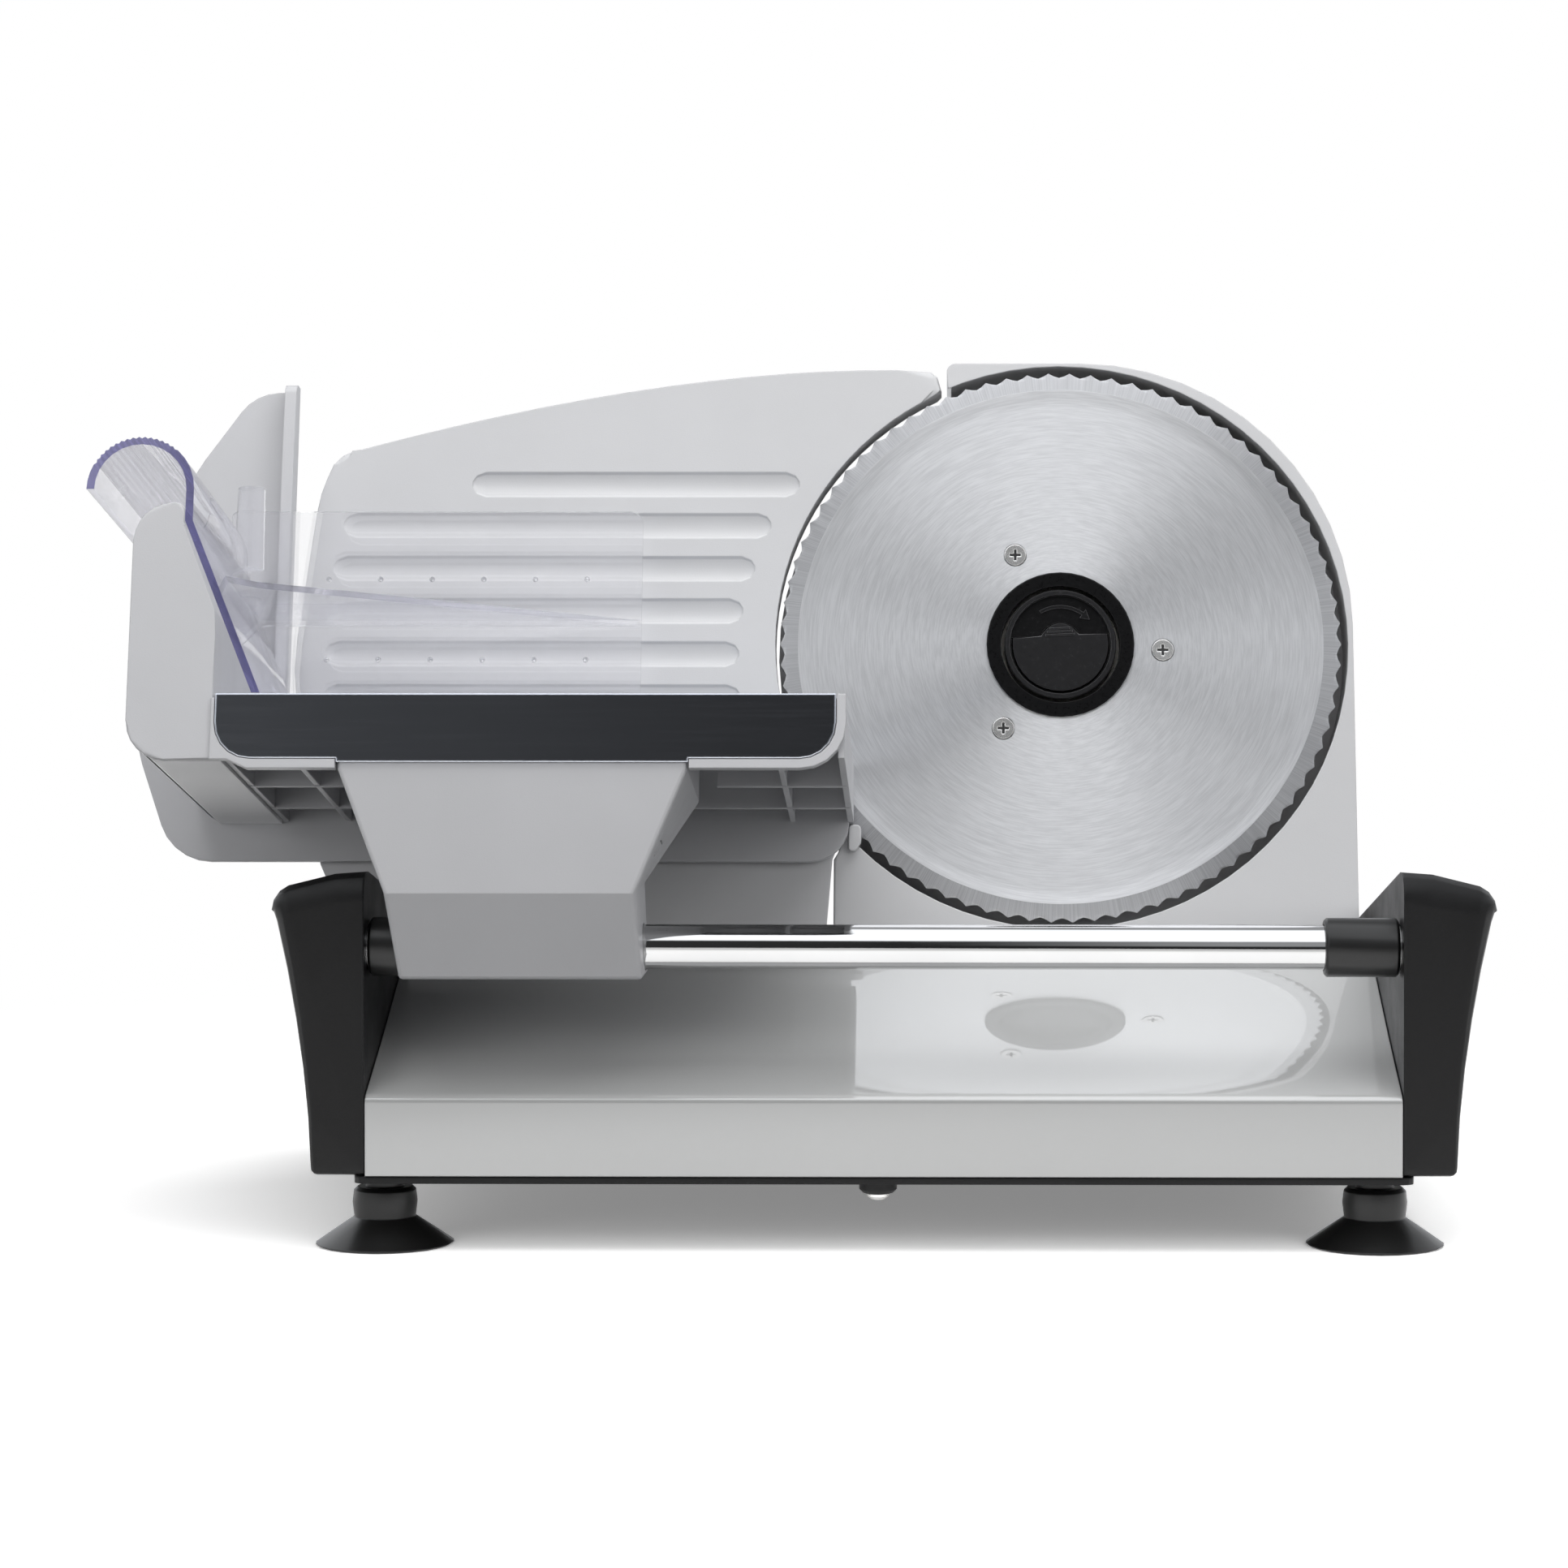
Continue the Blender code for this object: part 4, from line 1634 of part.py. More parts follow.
def underside_ribs(frame, right, rim_back):
    """Crossing ribs under the deck; the front row leaves room for the arm."""
    top = DECK_UNDER + OVERLAP / 2
    half = RIB_SHEET / 2
    for x in (TRAY_LEFT + RIB_LEFT_IN, *RIB_COLUMNS):
        rib_low = (x - half, rim_back - OVERLAP, RIB_BOTTOM)
        fuse(frame, box(rib_low, (x + half, GUARD_FRONT + OVERLAP, top)))
    start, end = TRAY_LEFT + RIB_LEFT_IN - half / 2, right - OVERLAP
    rows = [(RIB_ROWS[0], start, TAB_LEFT - ARM_ROOM[0]), (RIB_ROWS[0], TAB_RIGHT + ARM_ROOM[1], end)]
    rows.append((RIB_ROWS[1], start, end))
    for y, x0, x1 in rows:
        fuse(frame, box((x0, y - half, RIB_BOTTOM - RIB_STEP), (x1, y + half, top)))


def wing_rib(frame):
    """Upright rib on the front of the wing, beside the tray."""
    front = GUARD_FRONT - WING_RIB_DEPTH
    back = GUARD_FRONT + GUARD_REACH
    low, high = DECK_UNDER + GUARD_REACH / 2, WING_TOP + WING_RIB_RISE
    corners = [
        (front, low, 0),
        (front, WING_TOP - WING_RIB_SHOULDER, 0),
        (front + WING_RIB_DEPTH * 0.2, high, WING_RIB_CORNER),
        (back, high, 0),
        (back, low, 0),
    ]
    right = WING_RIB_RIGHT + RIB_STEP
    fuse(frame, prism(rounded(corners), right - WING_RIB_WIDTH, right, "X"))


def arm_section(y_front, y_back, x_left, x_right, z_front, z_back, shrink=0.0):
    return [
        (x_left + shrink, y_front + shrink, z_front),
        (x_right - shrink, y_front + shrink, z_front),
        (x_right - shrink, y_back, z_back),
        (x_left + shrink, y_back, z_back),
    ]


def beyond(start, end, reach):
    """The end moved further along the line from start to end."""
    direction = (Vector(end) - Vector(start)).normalized()
    return tuple(Vector(end) + direction * reach)


def arm_loft(shrink=0.0, top_drop=0.0, reach=0.0):
    """The arm's outer or inner form, in the leaning frame."""
    crease = world_point(*ARM_CREASE)
    foot = world_point(*ARM_FOOT)
    crease_back = world_point(ARM_CREASE_BACK_Y, ARM_CREASE[1])
    foot_back = world_point(ARM_FOOT_BACK_Y, ARM_FOOT[1])
    foot = beyond(crease, foot, reach)
    foot_back = beyond(crease_back, foot_back, reach)
    x0, x1 = TAB_LEFT + SEAT_GAP, TAB_RIGHT - SEAT_GAP
    top = DECK_UNDER - SEAT_GAP - top_drop
    lip = LIP_BOTTOM - ARM_LIP_DROP
    return [
        arm_section(ARM_TOP_Y, ARM_TOP_BACK_Y + reach, x0, x1, top, top, shrink),
        arm_section(ARM_TOP_Y, ARM_TOP_BACK_Y + reach, x0, x1, lip, lip, shrink),
        arm_section(crease[0], crease_back[0] + reach, *ARM_CREASE_X, crease[1], crease_back[1], shrink),
        arm_section(foot[0], foot_back[0] + reach, *ARM_FOOT_X, foot[1], foot_back[1], shrink),
    ]


def carriage_arm(axis):
    """Hollow moulded arm, open at the back and below, with two bush seats on the rod's line."""
    arm = node("carriage_arm", loft(arm_loft()), "grey_plastic", axis)
    bevel = arm.modifiers.new("soft edges", "BEVEL")
    bevel.width = ARM_SOFT
    bevel.segments = 2
    bevel.limit_method = "ANGLE"
    bevel.angle_limit = math.radians(40)
    cut(arm, loft(arm_loft(ARM_WALL, ARM_WALL, ARM_OPEN_REACH)))
    rod = world_point(ROD_Y, ROD_Z)
    seat = BUSH_RADIUS + SEAT_GAP
    crease = world_point(*ARM_CREASE)
    front = crease[0] + ARM_WALL * 0.4
    roof = DECK_UNDER - SEAT_GAP - ARM_WALL / 2
    web_low = rod[1] + seat + BUSH_HOUSING / 3
    web = [
        (front, roof),
        (front, crease[1] + ARM_LIP_DROP),
        (rod[0] - WEB_HALF, web_low),
        (rod[0] + WEB_HALF, web_low),
        (rod[0] + WEB_BACK, roof),
    ]
    for x in bush_places():
        ring = tube(seat + BUSH_HOUSING, seat, x - SEAT_GAP, x + BUSH_LENGTH + SEAT_GAP, 24, "X", rod)
        fuse(arm, prism(web, x + WEB_INSET, x + WEB_INSET + WEB_SHEET, "X"), ring)
    left_end, right_end = bush_places()
    outside = 4 * ARM_WALL
    cut(arm, disc(BUFFER_RADIUS + RUNNING_GAP, ARM_FOOT_X[0] - outside, left_end - ARM_WALL, 24, "X", rod))
    passage = (right_end + BUSH_LENGTH / 2, ARM_FOOT_X[1] + outside)
    cut(arm, disc(ROD_RADIUS + RUNNING_GAP, *passage, 24, "X", rod))


def bush_places():
    left = BASE_LEFT + SEAT_GAP + BUFFER_LENGTH + SEAT_GAP
    right = ARM_FOOT_X[1] - ARM_WALL - BUSH_LENGTH - BUSH_END_GAP
    return left, right


def bushes(axis):
    rod = world_point(ROD_Y, ROD_Z)
    for side, x in zip(("left", "right"), bush_places()):
        ring = tube(BUSH_RADIUS, ROD_RADIUS + SEAT_GAP, x, x + BUSH_LENGTH, 24, "X", rod)
        node(f"arm_bush_{side}", ring, "white_nylon", axis)


def arm_screws(axis):
    """Two screws up through the arm's roof into the deck, and the cutters of their holes."""
    roof = DECK_UNDER - SEAT_GAP - ARM_WALL
    head = roof - SEAT_GAP
    end = DECK_TOP - SEAT_GAP
    profile = [
        (0, head - ARM_SCREW_HEAD),
        (ARM_SCREW_HEAD_RADIUS, head - ARM_SCREW_HEAD * 0.6),
        (ARM_SCREW_HEAD_RADIUS, head),
        (ARM_SCREW_SHANK, head),
        (ARM_SCREW_SHANK, end),
        (0, end),
    ]
    y = ARM_TOP_Y + ARM_SCREW_BACK
    holes = []
    for side, x in (("left", TAB_LEFT + ARM_SCREW_SIDE), ("right", TAB_RIGHT - ARM_SCREW_SIDE)):
        node(f"arm_screw_{side}", turned(profile, 12, "Z"), "zinc", axis, (x, y, 0))
        ends = (roof - OVERLAP, DECK_TOP + OVERLAP)
        holes.append(disc(ARM_SCREW_SHANK + SEAT_GAP, *ends, 12, "Z", (x, y)))
    return holes


def pusher_profile():
    """Section of the handle sheet: half-round arch, short upright and the sloped wall down to the tray."""
    inner_radius = ARCH_RADIUS - PUSHER_SHEET
    foot_z = TRAY_TOP + SEAT_GAP
    step = (GRIP_START - GRIP_END) / (2 * GRIP_FLUTES)
    grip = []
    for i in range(2 * GRIP_FLUTES + 1):
        radius = ARCH_RADIUS - (GRIP_DEPTH if i % 2 else 0)
        a, b = polar(radius, GRIP_START - i * step)
        grip.append((ARCH_X + a, ARCH_Z + b))
    outer_arc = arc((ARCH_X, ARCH_Z), ARCH_RADIUS, 180, GRIP_START, 3)[:-1]
    outer_arc += grip + arc((ARCH_X, ARCH_Z), ARCH_RADIUS, GRIP_END, 0, 4)[1:]
    inner_arc = arc((ARCH_X, ARCH_Z), inner_radius, 0, 180, 14)
    outer_wall = [(ARCH_RIGHT, PUSHER_KNEE_Z), (PUSHER_FOOT_X, foot_z)]
    inner_foot = PUSHER_FOOT_X - PUSHER_SHEET * PUSHER_FOOT_SPREAD
    inner_wall = [(inner_foot, foot_z), (ARCH_RIGHT - PUSHER_SHEET, PUSHER_KNEE_Z)]
    return outer_arc + outer_wall + inner_wall + inner_arc


def food_pusher(axis):
    """Clear pusher: handle sheet over the fence, flat plate with points, stiffening shelf and column."""
    back = PUSHER_BACK
    plate_front = back - PUSHER_PLATE_SHEET
    handle = prism(pusher_profile(), TRAY_FRONT, plate_front + OVERLAP / 2)
    pusher = node("food_pusher", handle, "clear_plastic", axis)
    over_fence = FENCE_TOP + PUSHER_OVER_FENCE
    fuse(pusher, prism(rounded(pusher_plate_corners(over_fence)), plate_front, back))
    fuse(pusher, pusher_shelf(back, plate_front))
    column = [
        (0, over_fence),
        (COLUMN_RADIUS, over_fence),
        (COLUMN_RADIUS - COLUMN_TAPER, COLUMN_TOP),
        (0, COLUMN_TOP),
    ]
    column_node = fuse(pusher, turned(column, 16, "Z", (COLUMN_X, plate_front - OVERLAP)))[0]
    beyond_column = 4 * COLUMN_RADIUS
    behind_low = (COLUMN_X - beyond_column, back - OVERLAP / 2, FENCE_TOP - beyond_column)
    cut(column_node, box(behind_low, (COLUMN_X + beyond_column, back + beyond_column, COLUMN_TOP + OVERLAP)))
    tip = back + POINT_HEIGHT
    foot = back - PUSHER_PLATE_SHEET * 0.4
    point = [(0, foot), (POINT_RADIUS, foot), (POINT_TIP_RADIUS, tip), (0, tip)]
    points = []
    for z in POINT_ROWS:
        for i in range(POINTS_PER_ROW):
            points.append(turned(point, 8, "Y", (POINT_FIRST_X + i * POINT_PITCH, z)))
    fuse(pusher, joined(points))


def pusher_plate_corners(over_fence):
    """Corners of the flat plate, which clears the fence and joins the middle of the handle sheet."""
    foot_z = TRAY_TOP + SEAT_GAP
    middle = PUSHER_SHEET / 2
    return [
        (PUSHER_PLATE_LEFT, over_fence, 0),
        (ARCH_RIGHT - middle, over_fence, 0),
        (ARCH_RIGHT - middle, PUSHER_KNEE_Z, 0),
        (PUSHER_FOOT_X - middle, foot_z, 0),
        (PUSHER_PLATE_RIGHT, foot_z, 0),
        (PUSHER_PLATE_RIGHT, PUSHER_PLATE_TOP, PUSHER_CORNER),
        (PUSHER_PLATE_LEFT, PUSHER_PLATE_TOP, PUSHER_CORNER / 2),
    ]


def pusher_shelf(back, plate_front):
    """Three-cornered stiffening shelf between the sloped wall and the plate."""
    slope = (PUSHER_FOOT_X - ARCH_RIGHT) / (PUSHER_KNEE_Z - TRAY_TOP - SEAT_GAP)
    wall_x = ARCH_RIGHT + (PUSHER_KNEE_Z - PUSHER_SHELF_Z) * slope - PUSHER_SHEET / 2
    right = PUSHER_PLATE_RIGHT - OVERLAP
    outline = [
        (wall_x, back - PUSHER_SHELF_DEPTH),
        (wall_x + PUSHER_SHELF_NOSE, back - PUSHER_SHELF_DEPTH * PUSHER_SHELF_EASE),
        (right, plate_front - OVERLAP),
        (right, plate_front + OVERLAP),
        (wall_x, plate_front + OVERLAP),
    ]
    half = PUSHER_PLATE_SHEET / 2
    return prism(outline, PUSHER_SHELF_Z - half, PUSHER_SHELF_Z + half, "Z")


def build():
    clear_scene()
    placement = empty("placement", None, (-MIDDLE_X, -MIDDLE_Y, 0))
    base_shell()
    bottom_plate()
    feet()
    end_cap("left")
    end_cap("right")
    slide_rod()
    frame = empty("leaning_frame", placement, (0, FRAME_Y, FRAME_Z), (-LEAN, 0, 0))
    housing(frame)
    rear_cover(frame)
    switch(frame)
    cord_gland(frame)
    gear_bracket(frame)
    blade_axis = empty("blade_axis", frame, (BLADE_X, 0, 0))
    blade(blade_axis)
    blade_screws(blade_axis)
    blade_gear(blade_axis)
    hub(blade_axis)
    lock_axis = empty("lock_axis", blade_axis, (0, 0, 0), (0, math.radians(-LOCK_REST_ANGLE), 0))
    lock(lock_axis)
    press_tab(lock_axis)
    spindle(empty("spindle_axis", frame, (BLADE_X, 0, 0)))
    idler(empty("idler_axis", frame, (BLADE_X, 0, IDLER_Z)))
    motor_axis = empty("motor_axis", frame, (0, MOTOR_Y, MOTOR_Z))
    worm_shaft(motor_axis)
    motor(frame, motor_axis)
    guide_axis = empty("thickness_slide", frame)
    knob_axis = empty("knob_axis", frame, (DRIVE_X, 0, DRIVE_Z))
    thickness_plate(guide_axis)
    thickness_drive(frame, guide_axis, knob_axis)
    carriage = empty("carriage_slide", frame)
    tray_plate(carriage)
    carriage_frame(carriage)
    carriage_arm(carriage)
    holes = arm_screws(carriage)
    for name in ("carriage_frame", "carriage_arm"):
        target = bpy.data.objects[name]
        cut(target, joined([hole.copy() for hole in holes]))
    bushes(carriage)
    food_pusher(empty("pusher_slide", carriage))


build()
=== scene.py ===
import math

import bmesh
import bpy
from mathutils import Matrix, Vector


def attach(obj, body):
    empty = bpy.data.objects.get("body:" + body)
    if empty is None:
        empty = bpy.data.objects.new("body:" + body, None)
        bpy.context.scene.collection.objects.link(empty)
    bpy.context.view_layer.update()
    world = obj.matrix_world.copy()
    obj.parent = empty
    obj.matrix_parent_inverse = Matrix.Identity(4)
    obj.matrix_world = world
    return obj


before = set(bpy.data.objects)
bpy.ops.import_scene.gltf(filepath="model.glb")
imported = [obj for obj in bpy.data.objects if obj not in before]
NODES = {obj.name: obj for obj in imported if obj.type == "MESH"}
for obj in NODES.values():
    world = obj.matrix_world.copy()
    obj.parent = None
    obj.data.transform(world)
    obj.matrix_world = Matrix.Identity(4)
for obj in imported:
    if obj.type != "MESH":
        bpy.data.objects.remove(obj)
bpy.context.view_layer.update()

# Camera

IMAGE = 1932
SENSOR = 36
FOCAL_PIXELS = 5000
PRINCIPAL = (1170, 700)
CAMERA_AT = (0.05224, -1.35437, 0.212)
YAW = math.radians(0.6)
PITCH = math.radians(0.9)

camera = bpy.data.objects.new("camera", bpy.data.cameras.new("camera"))
bpy.context.scene.collection.objects.link(camera)
bpy.context.scene.camera = camera
camera.data.sensor_width = SENSOR
camera.data.lens = SENSOR * FOCAL_PIXELS / IMAGE
camera.data.shift_x = (IMAGE / 2 - PRINCIPAL[0] + FOCAL_PIXELS * math.tan(YAW)) / IMAGE
camera.data.shift_y = (PRINCIPAL[1] - IMAGE / 2 + FOCAL_PIXELS * math.tan(PITCH)) / IMAGE
camera.location = CAMERA_AT
camera.rotation_euler = (math.radians(90) - PITCH, 0, YAW)
camera.data.clip_start = 0.05
camera.data.clip_end = 30

bpy.context.scene.view_settings.view_transform = "Standard"


# The leaning frame

LEAN = math.radians(13)
AXIS = Vector((0, math.cos(LEAN), -math.sin(LEAN)))
BLADE_AT = Vector((0.089788, 0.018633, 0.1865))
PUSHER_FRONT = -0.127
FROM_BLADE = 0.0883


def leaning_point(across, back, up):
    """A point across from the base's middle, back from the blade's face and up along that face."""
    place = BLADE_AT + Vector((across - FROM_BLADE, 0, 0))
    return place + AXIS * back + Vector((0, math.sin(LEAN), math.cos(LEAN))) * up


# Node trees

BEVEL_SAMPLES = 6
# Samples and bend range of the painted highlight along edges.
EDGE_HIGHLIGHT_SAMPLES = 8
EDGE_HIGHLIGHT_FROM, EDGE_HIGHLIGHT_TO = 0.02, 0.25


def tree_of(material):
    material.use_nodes = True
    tree = material.node_tree
    tree.nodes.clear()
    return tree


def add(tree, kind, settings=(), **inputs):
    """Adds a shader node. An input is a number, a colour or a node's output; i0 and i1 go by place."""
    made = tree.nodes.new("ShaderNode" + kind)
    for key, value in dict(settings).items():
        setattr(made, key, value)
    for key, value in inputs.items():
        if value is None:
            continue
        numbered = key[0] == "i" and key[1:].isdigit()
        socket = made.inputs[int(key[1:]) if numbered else key.replace("_", " ")]
        if isinstance(value, bpy.types.NodeSocket):
            tree.links.new(value, socket)
        elif socket.type == "RGBA":
            socket.default_value = (*value, 1) if len(value) == 3 else value
        else:
            socket.default_value = value
    return made


def by_place(values):
    return {f"i{place}": value for place, value in enumerate(values)}


def math_node(tree, operation, *values):
    return add(tree, "Math", {"operation": operation}, **by_place(values)).outputs[0]


def vector_node(tree, operation, *values):
    made = add(tree, "VectorMath", {"operation": operation}, **by_place(values))
    return made.outputs["Value" if operation in ("DOT_PRODUCT", "LENGTH") else "Vector"]


def remap(tree, value, low, high, out_low, out_high):
    return add(
        tree, "MapRange", {"interpolation_type": "SMOOTHSTEP"},
        Value=value, From_Min=low, From_Max=high, To_Min=out_low, To_Max=out_high,
    ).outputs["Result"]


def blended(tree, factor, first, second):
    return add(tree, "Mix", {"data_type": "RGBA"}, i0=factor, i6=first, i7=second).outputs[2]


def dimmed(colour, share):
    return tuple(c * share for c in colour)


def own_place(tree):
    return add(tree, "TexCoord").outputs["Object"]


def own_normal(tree):
    return add(tree, "NewGeometry").outputs["Normal"]


def edge_normal(tree, soft, samples=BEVEL_SAMPLES):
    """The normal with the edges rounded off by the soft radius."""
    return add(tree, "Bevel", {"samples": samples}, Radius=soft).outputs["Normal"]


def place_in(tree, scale=(1, 1, 1)):
    """The object's own coordinates, scaled."""
    return add(tree, "Mapping", Vector=own_place(tree), Scale=scale).outputs["Vector"]


def noise(tree, where, scale, detail, rough=0.55):
    made = add(tree, "TexNoise", Vector=where, Scale=scale, Detail=detail, Roughness=rough)
    return made.outputs["Fac"]


def bumped(tree, height, distance, soft=0.0):
    """Small relief, on edges that are rounded off by the soft radius."""
    if not distance and not soft:
        return None
    rim = edge_normal(tree, soft) if soft else None
    return add(tree, "Bump", Height=height, Distance=distance, Normal=rim).outputs["Normal"]


def painted_edge_highlight(tree, colour, wear_and_edge_highlight, soft):
    """The colour, paler where the surface turns over an edge: a painted highlight along the edges."""
    turned = edge_normal(tree, soft, EDGE_HIGHLIGHT_SAMPLES)
    along = vector_node(tree, "DOT_PRODUCT", turned, own_normal(tree))
    bend = math_node(tree, "SUBTRACT", 1.0, along)
    # Painted highlight: where the normal bends over an edge the colour turns towards the paler one.
    return blended(tree, remap(tree, bend, EDGE_HIGHLIGHT_FROM, EDGE_HIGHLIGHT_TO, 0, 1), colour, wear_and_edge_highlight)


def from_blade_centre(tree):
    return vector_node(tree, "SUBTRACT", own_place(tree), tuple(BLADE_AT))


def behind_blade_face(tree):
    """How far a point lies behind the plane of the blade's ridge."""
    return vector_node(tree, "DOT_PRODUCT", from_blade_centre(tree), tuple(AXIS))


def shade(tree, **inputs):
    made = add(tree, "BsdfPrincipled", **inputs)
    out = add(tree, "OutputMaterial")
    tree.links.new(made.outputs[0], out.inputs["Surface"])
    return made


# Materials

FINE_RINGS, FINE_TURN, FINE_SHARE = 2300.0, 8.0, 0.65
COARSE_RINGS, COARSE_TURN, COARSE_SHARE = 1000.0, 4.0, 0.35
GROUND_FROM_RADIUS = 0.0889
GROUND_DARK, GROUND_PALE = (0.54, 0.54, 0.55), (0.66, 0.66, 0.67)
GRINDING_LINES = (330.0, 330.0, 330.0)
BLADE_FLATTENED, LESS_WHERE_GROUND = 0.84, 0.24

# Depths over which the lock's painted recess shade sets in.
LOCK_FACE_DEPTH, LOCK_SUNK_DEPTH = 0.0012, 0.0023
LOCK_EDGE = 0.0003
SCREW_RECESS_DEPTH = 0.0020
SCREW_SIDE_FACING = -0.6

SHEET_END_DEPTH = 0.0008
SHEET_END_FACING = -0.9
CLEAR_INDEX = 1.46
CLEAR_PASSES = (0.965, 0.965, 0.97)
CLEAR_SHARE = 0.28
CLEAR_DEEP, CLEAR_DENSITY = (0.40, 0.38, 0.74), 8.0


def moulded(name, colour, rough, grain=2600, grain_height=0.00003, mottle=0.05, specular=0.5, coat=0.0,
            coat_rough=0.08, coat_index=1.5, rub=0.13, soft=0.0006, lean=0.0):
    """Painted or bare moulding: slow mottling, a fine skin and slightly rubbed patches.

    The coat's normal leans forward by the amount given.
    """
    material = bpy.data.materials.new(name)
    tree = tree_of(material)
    where = place_in(tree)
    slow = noise(tree, where, 9, 4)
    patches = noise(tree, where, 45, 5, 0.65)
    fine = noise(tree, where, grain, 2, 0.6)
    dark = dimmed(colour, 1 - mottle)
    light = tuple(min(1, c * (1 + mottle)) for c in colour)
    tone = blended(tree, remap(tree, slow, 0.3, 0.7, 0, 1), dark, light)
    roughness = remap(tree, patches, 0.3, 0.75, rough * (1 - rub), min(1, rough * (1 + rub)))
    made = shade(
        tree, Base_Color=tone, Roughness=roughness, Specular_IOR_Level=specular, Coat_Weight=coat,
        Coat_Roughness=coat_rough, Coat_IOR=coat_index, Normal=bumped(tree, fine, grain_height, soft),
    )
    if coat:
        leant = vector_node(tree, "ADD", edge_normal(tree, soft), (0, -lean, 0))
        tree.links.new(vector_node(tree, "NORMALIZE", leant), made.inputs["Coat Normal"])
    return material


def worked_metal(name, colour, rough, streak=(1, 1, 1), streak_scale=900, streak_height=0.000004,
                 spread=0.25, soft=0.0):
    """Metal with streaks that run along the axis whose scale is small."""
    material = bpy.data.materials.new(name)
    tree = tree_of(material)
    lines = noise(tree, place_in(tree, streak), streak_scale, 4, 0.6)
    cloud = noise(tree, place_in(tree), 30, 4, 0.6)
    roughness = remap(tree, lines, 0.3, 0.7, rough * (1 - spread), rough * (1 + spread))
    tone = blended(tree, remap(tree, cloud, 0.3, 0.7, 0, 1), dimmed(colour, 0.96), colour)
    shade(
        tree, Base_Color=tone, Roughness=roughness, Metallic=1.0,
        Normal=bumped(tree, lines, streak_height, soft),
    )
    return material


def ring_place(tree, radius, around, rings, turn):
    """Coordinates that change fast from ring to ring and slowly along each."""
    return add(
        tree, "CombineXYZ", X=math_node(tree, "MULTIPLY", radius, rings),
        Y=math_node(tree, "MULTIPLY", around.outputs["X"], turn),
        Z=math_node(tree, "MULTIPLY", around.outputs["Z"], turn),
    ).outputs[0]


def turned_steel(name, colour, anisotropic, low, high):
    """Steel brushed in circles round the blade's axis, its rim ground across."""
    material = bpy.data.materials.new(name)
    tree = tree_of(material)
    along = vector_node(tree, "CROSS_PRODUCT", tuple(AXIS), from_blade_centre(tree))
    radius = vector_node(tree, "LENGTH", along)
    unit = vector_node(tree, "NORMALIZE", along)
    around = add(tree, "SeparateXYZ", Vector=unit)
    fine = noise(tree, ring_place(tree, radius, around, FINE_RINGS, FINE_TURN), 1.0, 3, 0.6)
    coarse = noise(tree, ring_place(tree, radius, around, COARSE_RINGS, COARSE_TURN), 1.0, 4, 0.65)
    both = math_node(
        tree, "ADD", math_node(tree, "MULTIPLY", fine, FINE_SHARE),
        math_node(tree, "MULTIPLY", coarse, COARSE_SHARE),
    )
    roughness = remap(tree, both, 0.38, 0.62, low, high)
    tone = blended(tree, remap(tree, both, 0.36, 0.64, 0, 1), dimmed(colour, 0.88), colour)
    ground = math_node(tree, "GREATER_THAN", radius, GROUND_FROM_RADIUS)
    grinding = noise(tree, vector_node(tree, "MULTIPLY", unit, GRINDING_LINES), 1.0, 2, 0.6)
    ground_tone = blended(tree, remap(tree, grinding, 0.3, 0.7, 0, 1), GROUND_DARK, GROUND_PALE)
    tone = blended(tree, ground, tone, ground_tone)
    less = math_node(tree, "MULTIPLY", ground, LESS_WHERE_GROUND)
    flat = math_node(tree, "SUBTRACT", BLADE_FLATTENED, less)
    faced = add(tree, "Mix", {"data_type": "VECTOR"}, i0=flat, i4=own_normal(tree), i5=tuple(-AXIS))
    tangent = add(
        tree, "VectorTransform",
        {"vector_type": "VECTOR", "convert_from": "OBJECT", "convert_to": "WORLD"},
        Vector=vector_node(tree, "CROSS_PRODUCT", unit, tuple(AXIS)),
    ).outputs[0]
    shade(
        tree, Base_Color=tone, Roughness=roughness, Metallic=1.0, Anisotropic=anisotropic,
        Tangent=tangent, Normal=vector_node(tree, "NORMALIZE", faced.outputs[1]),
    )
    return material


def lock_plastic(name, sunk_shade, face, wear_and_edge_highlight, rough):
    """Black moulding of the lock: darker where sunk, which is painted shade, scuffed on its face, and
    paler along its edges, which is a painted highlight.
    """
    material = bpy.data.materials.new(name)
    tree = tree_of(material)
    scuffs = noise(tree, place_in(tree), 700, 5, 0.7)
    # Painted shade: the sunk colour fills what lies deeper behind the face.
    raised_out_of_shade = remap(tree, behind_blade_face(tree), LOCK_FACE_DEPTH, LOCK_SUNK_DEPTH, 1, 0)
    colour = blended(tree, raised_out_of_shade, sunk_shade, face)
    colour = blended(tree, remap(tree, scuffs, 0.55, 0.80, 0, 0.12), colour, wear_and_edge_highlight)
    # Painted highlight along the edges; the scuffs above are wear.
    colour = painted_edge_highlight(tree, colour, wear_and_edge_highlight, LOCK_EDGE)
    shade(
        tree, Base_Color=colour, Roughness=remap(tree, scuffs, 0.3, 0.7, rough * 0.8, rough * 1.3),
        Specular_IOR_Level=0.12, Normal=bumped(tree, scuffs, 0.000002, LOCK_EDGE),
    )
    return material


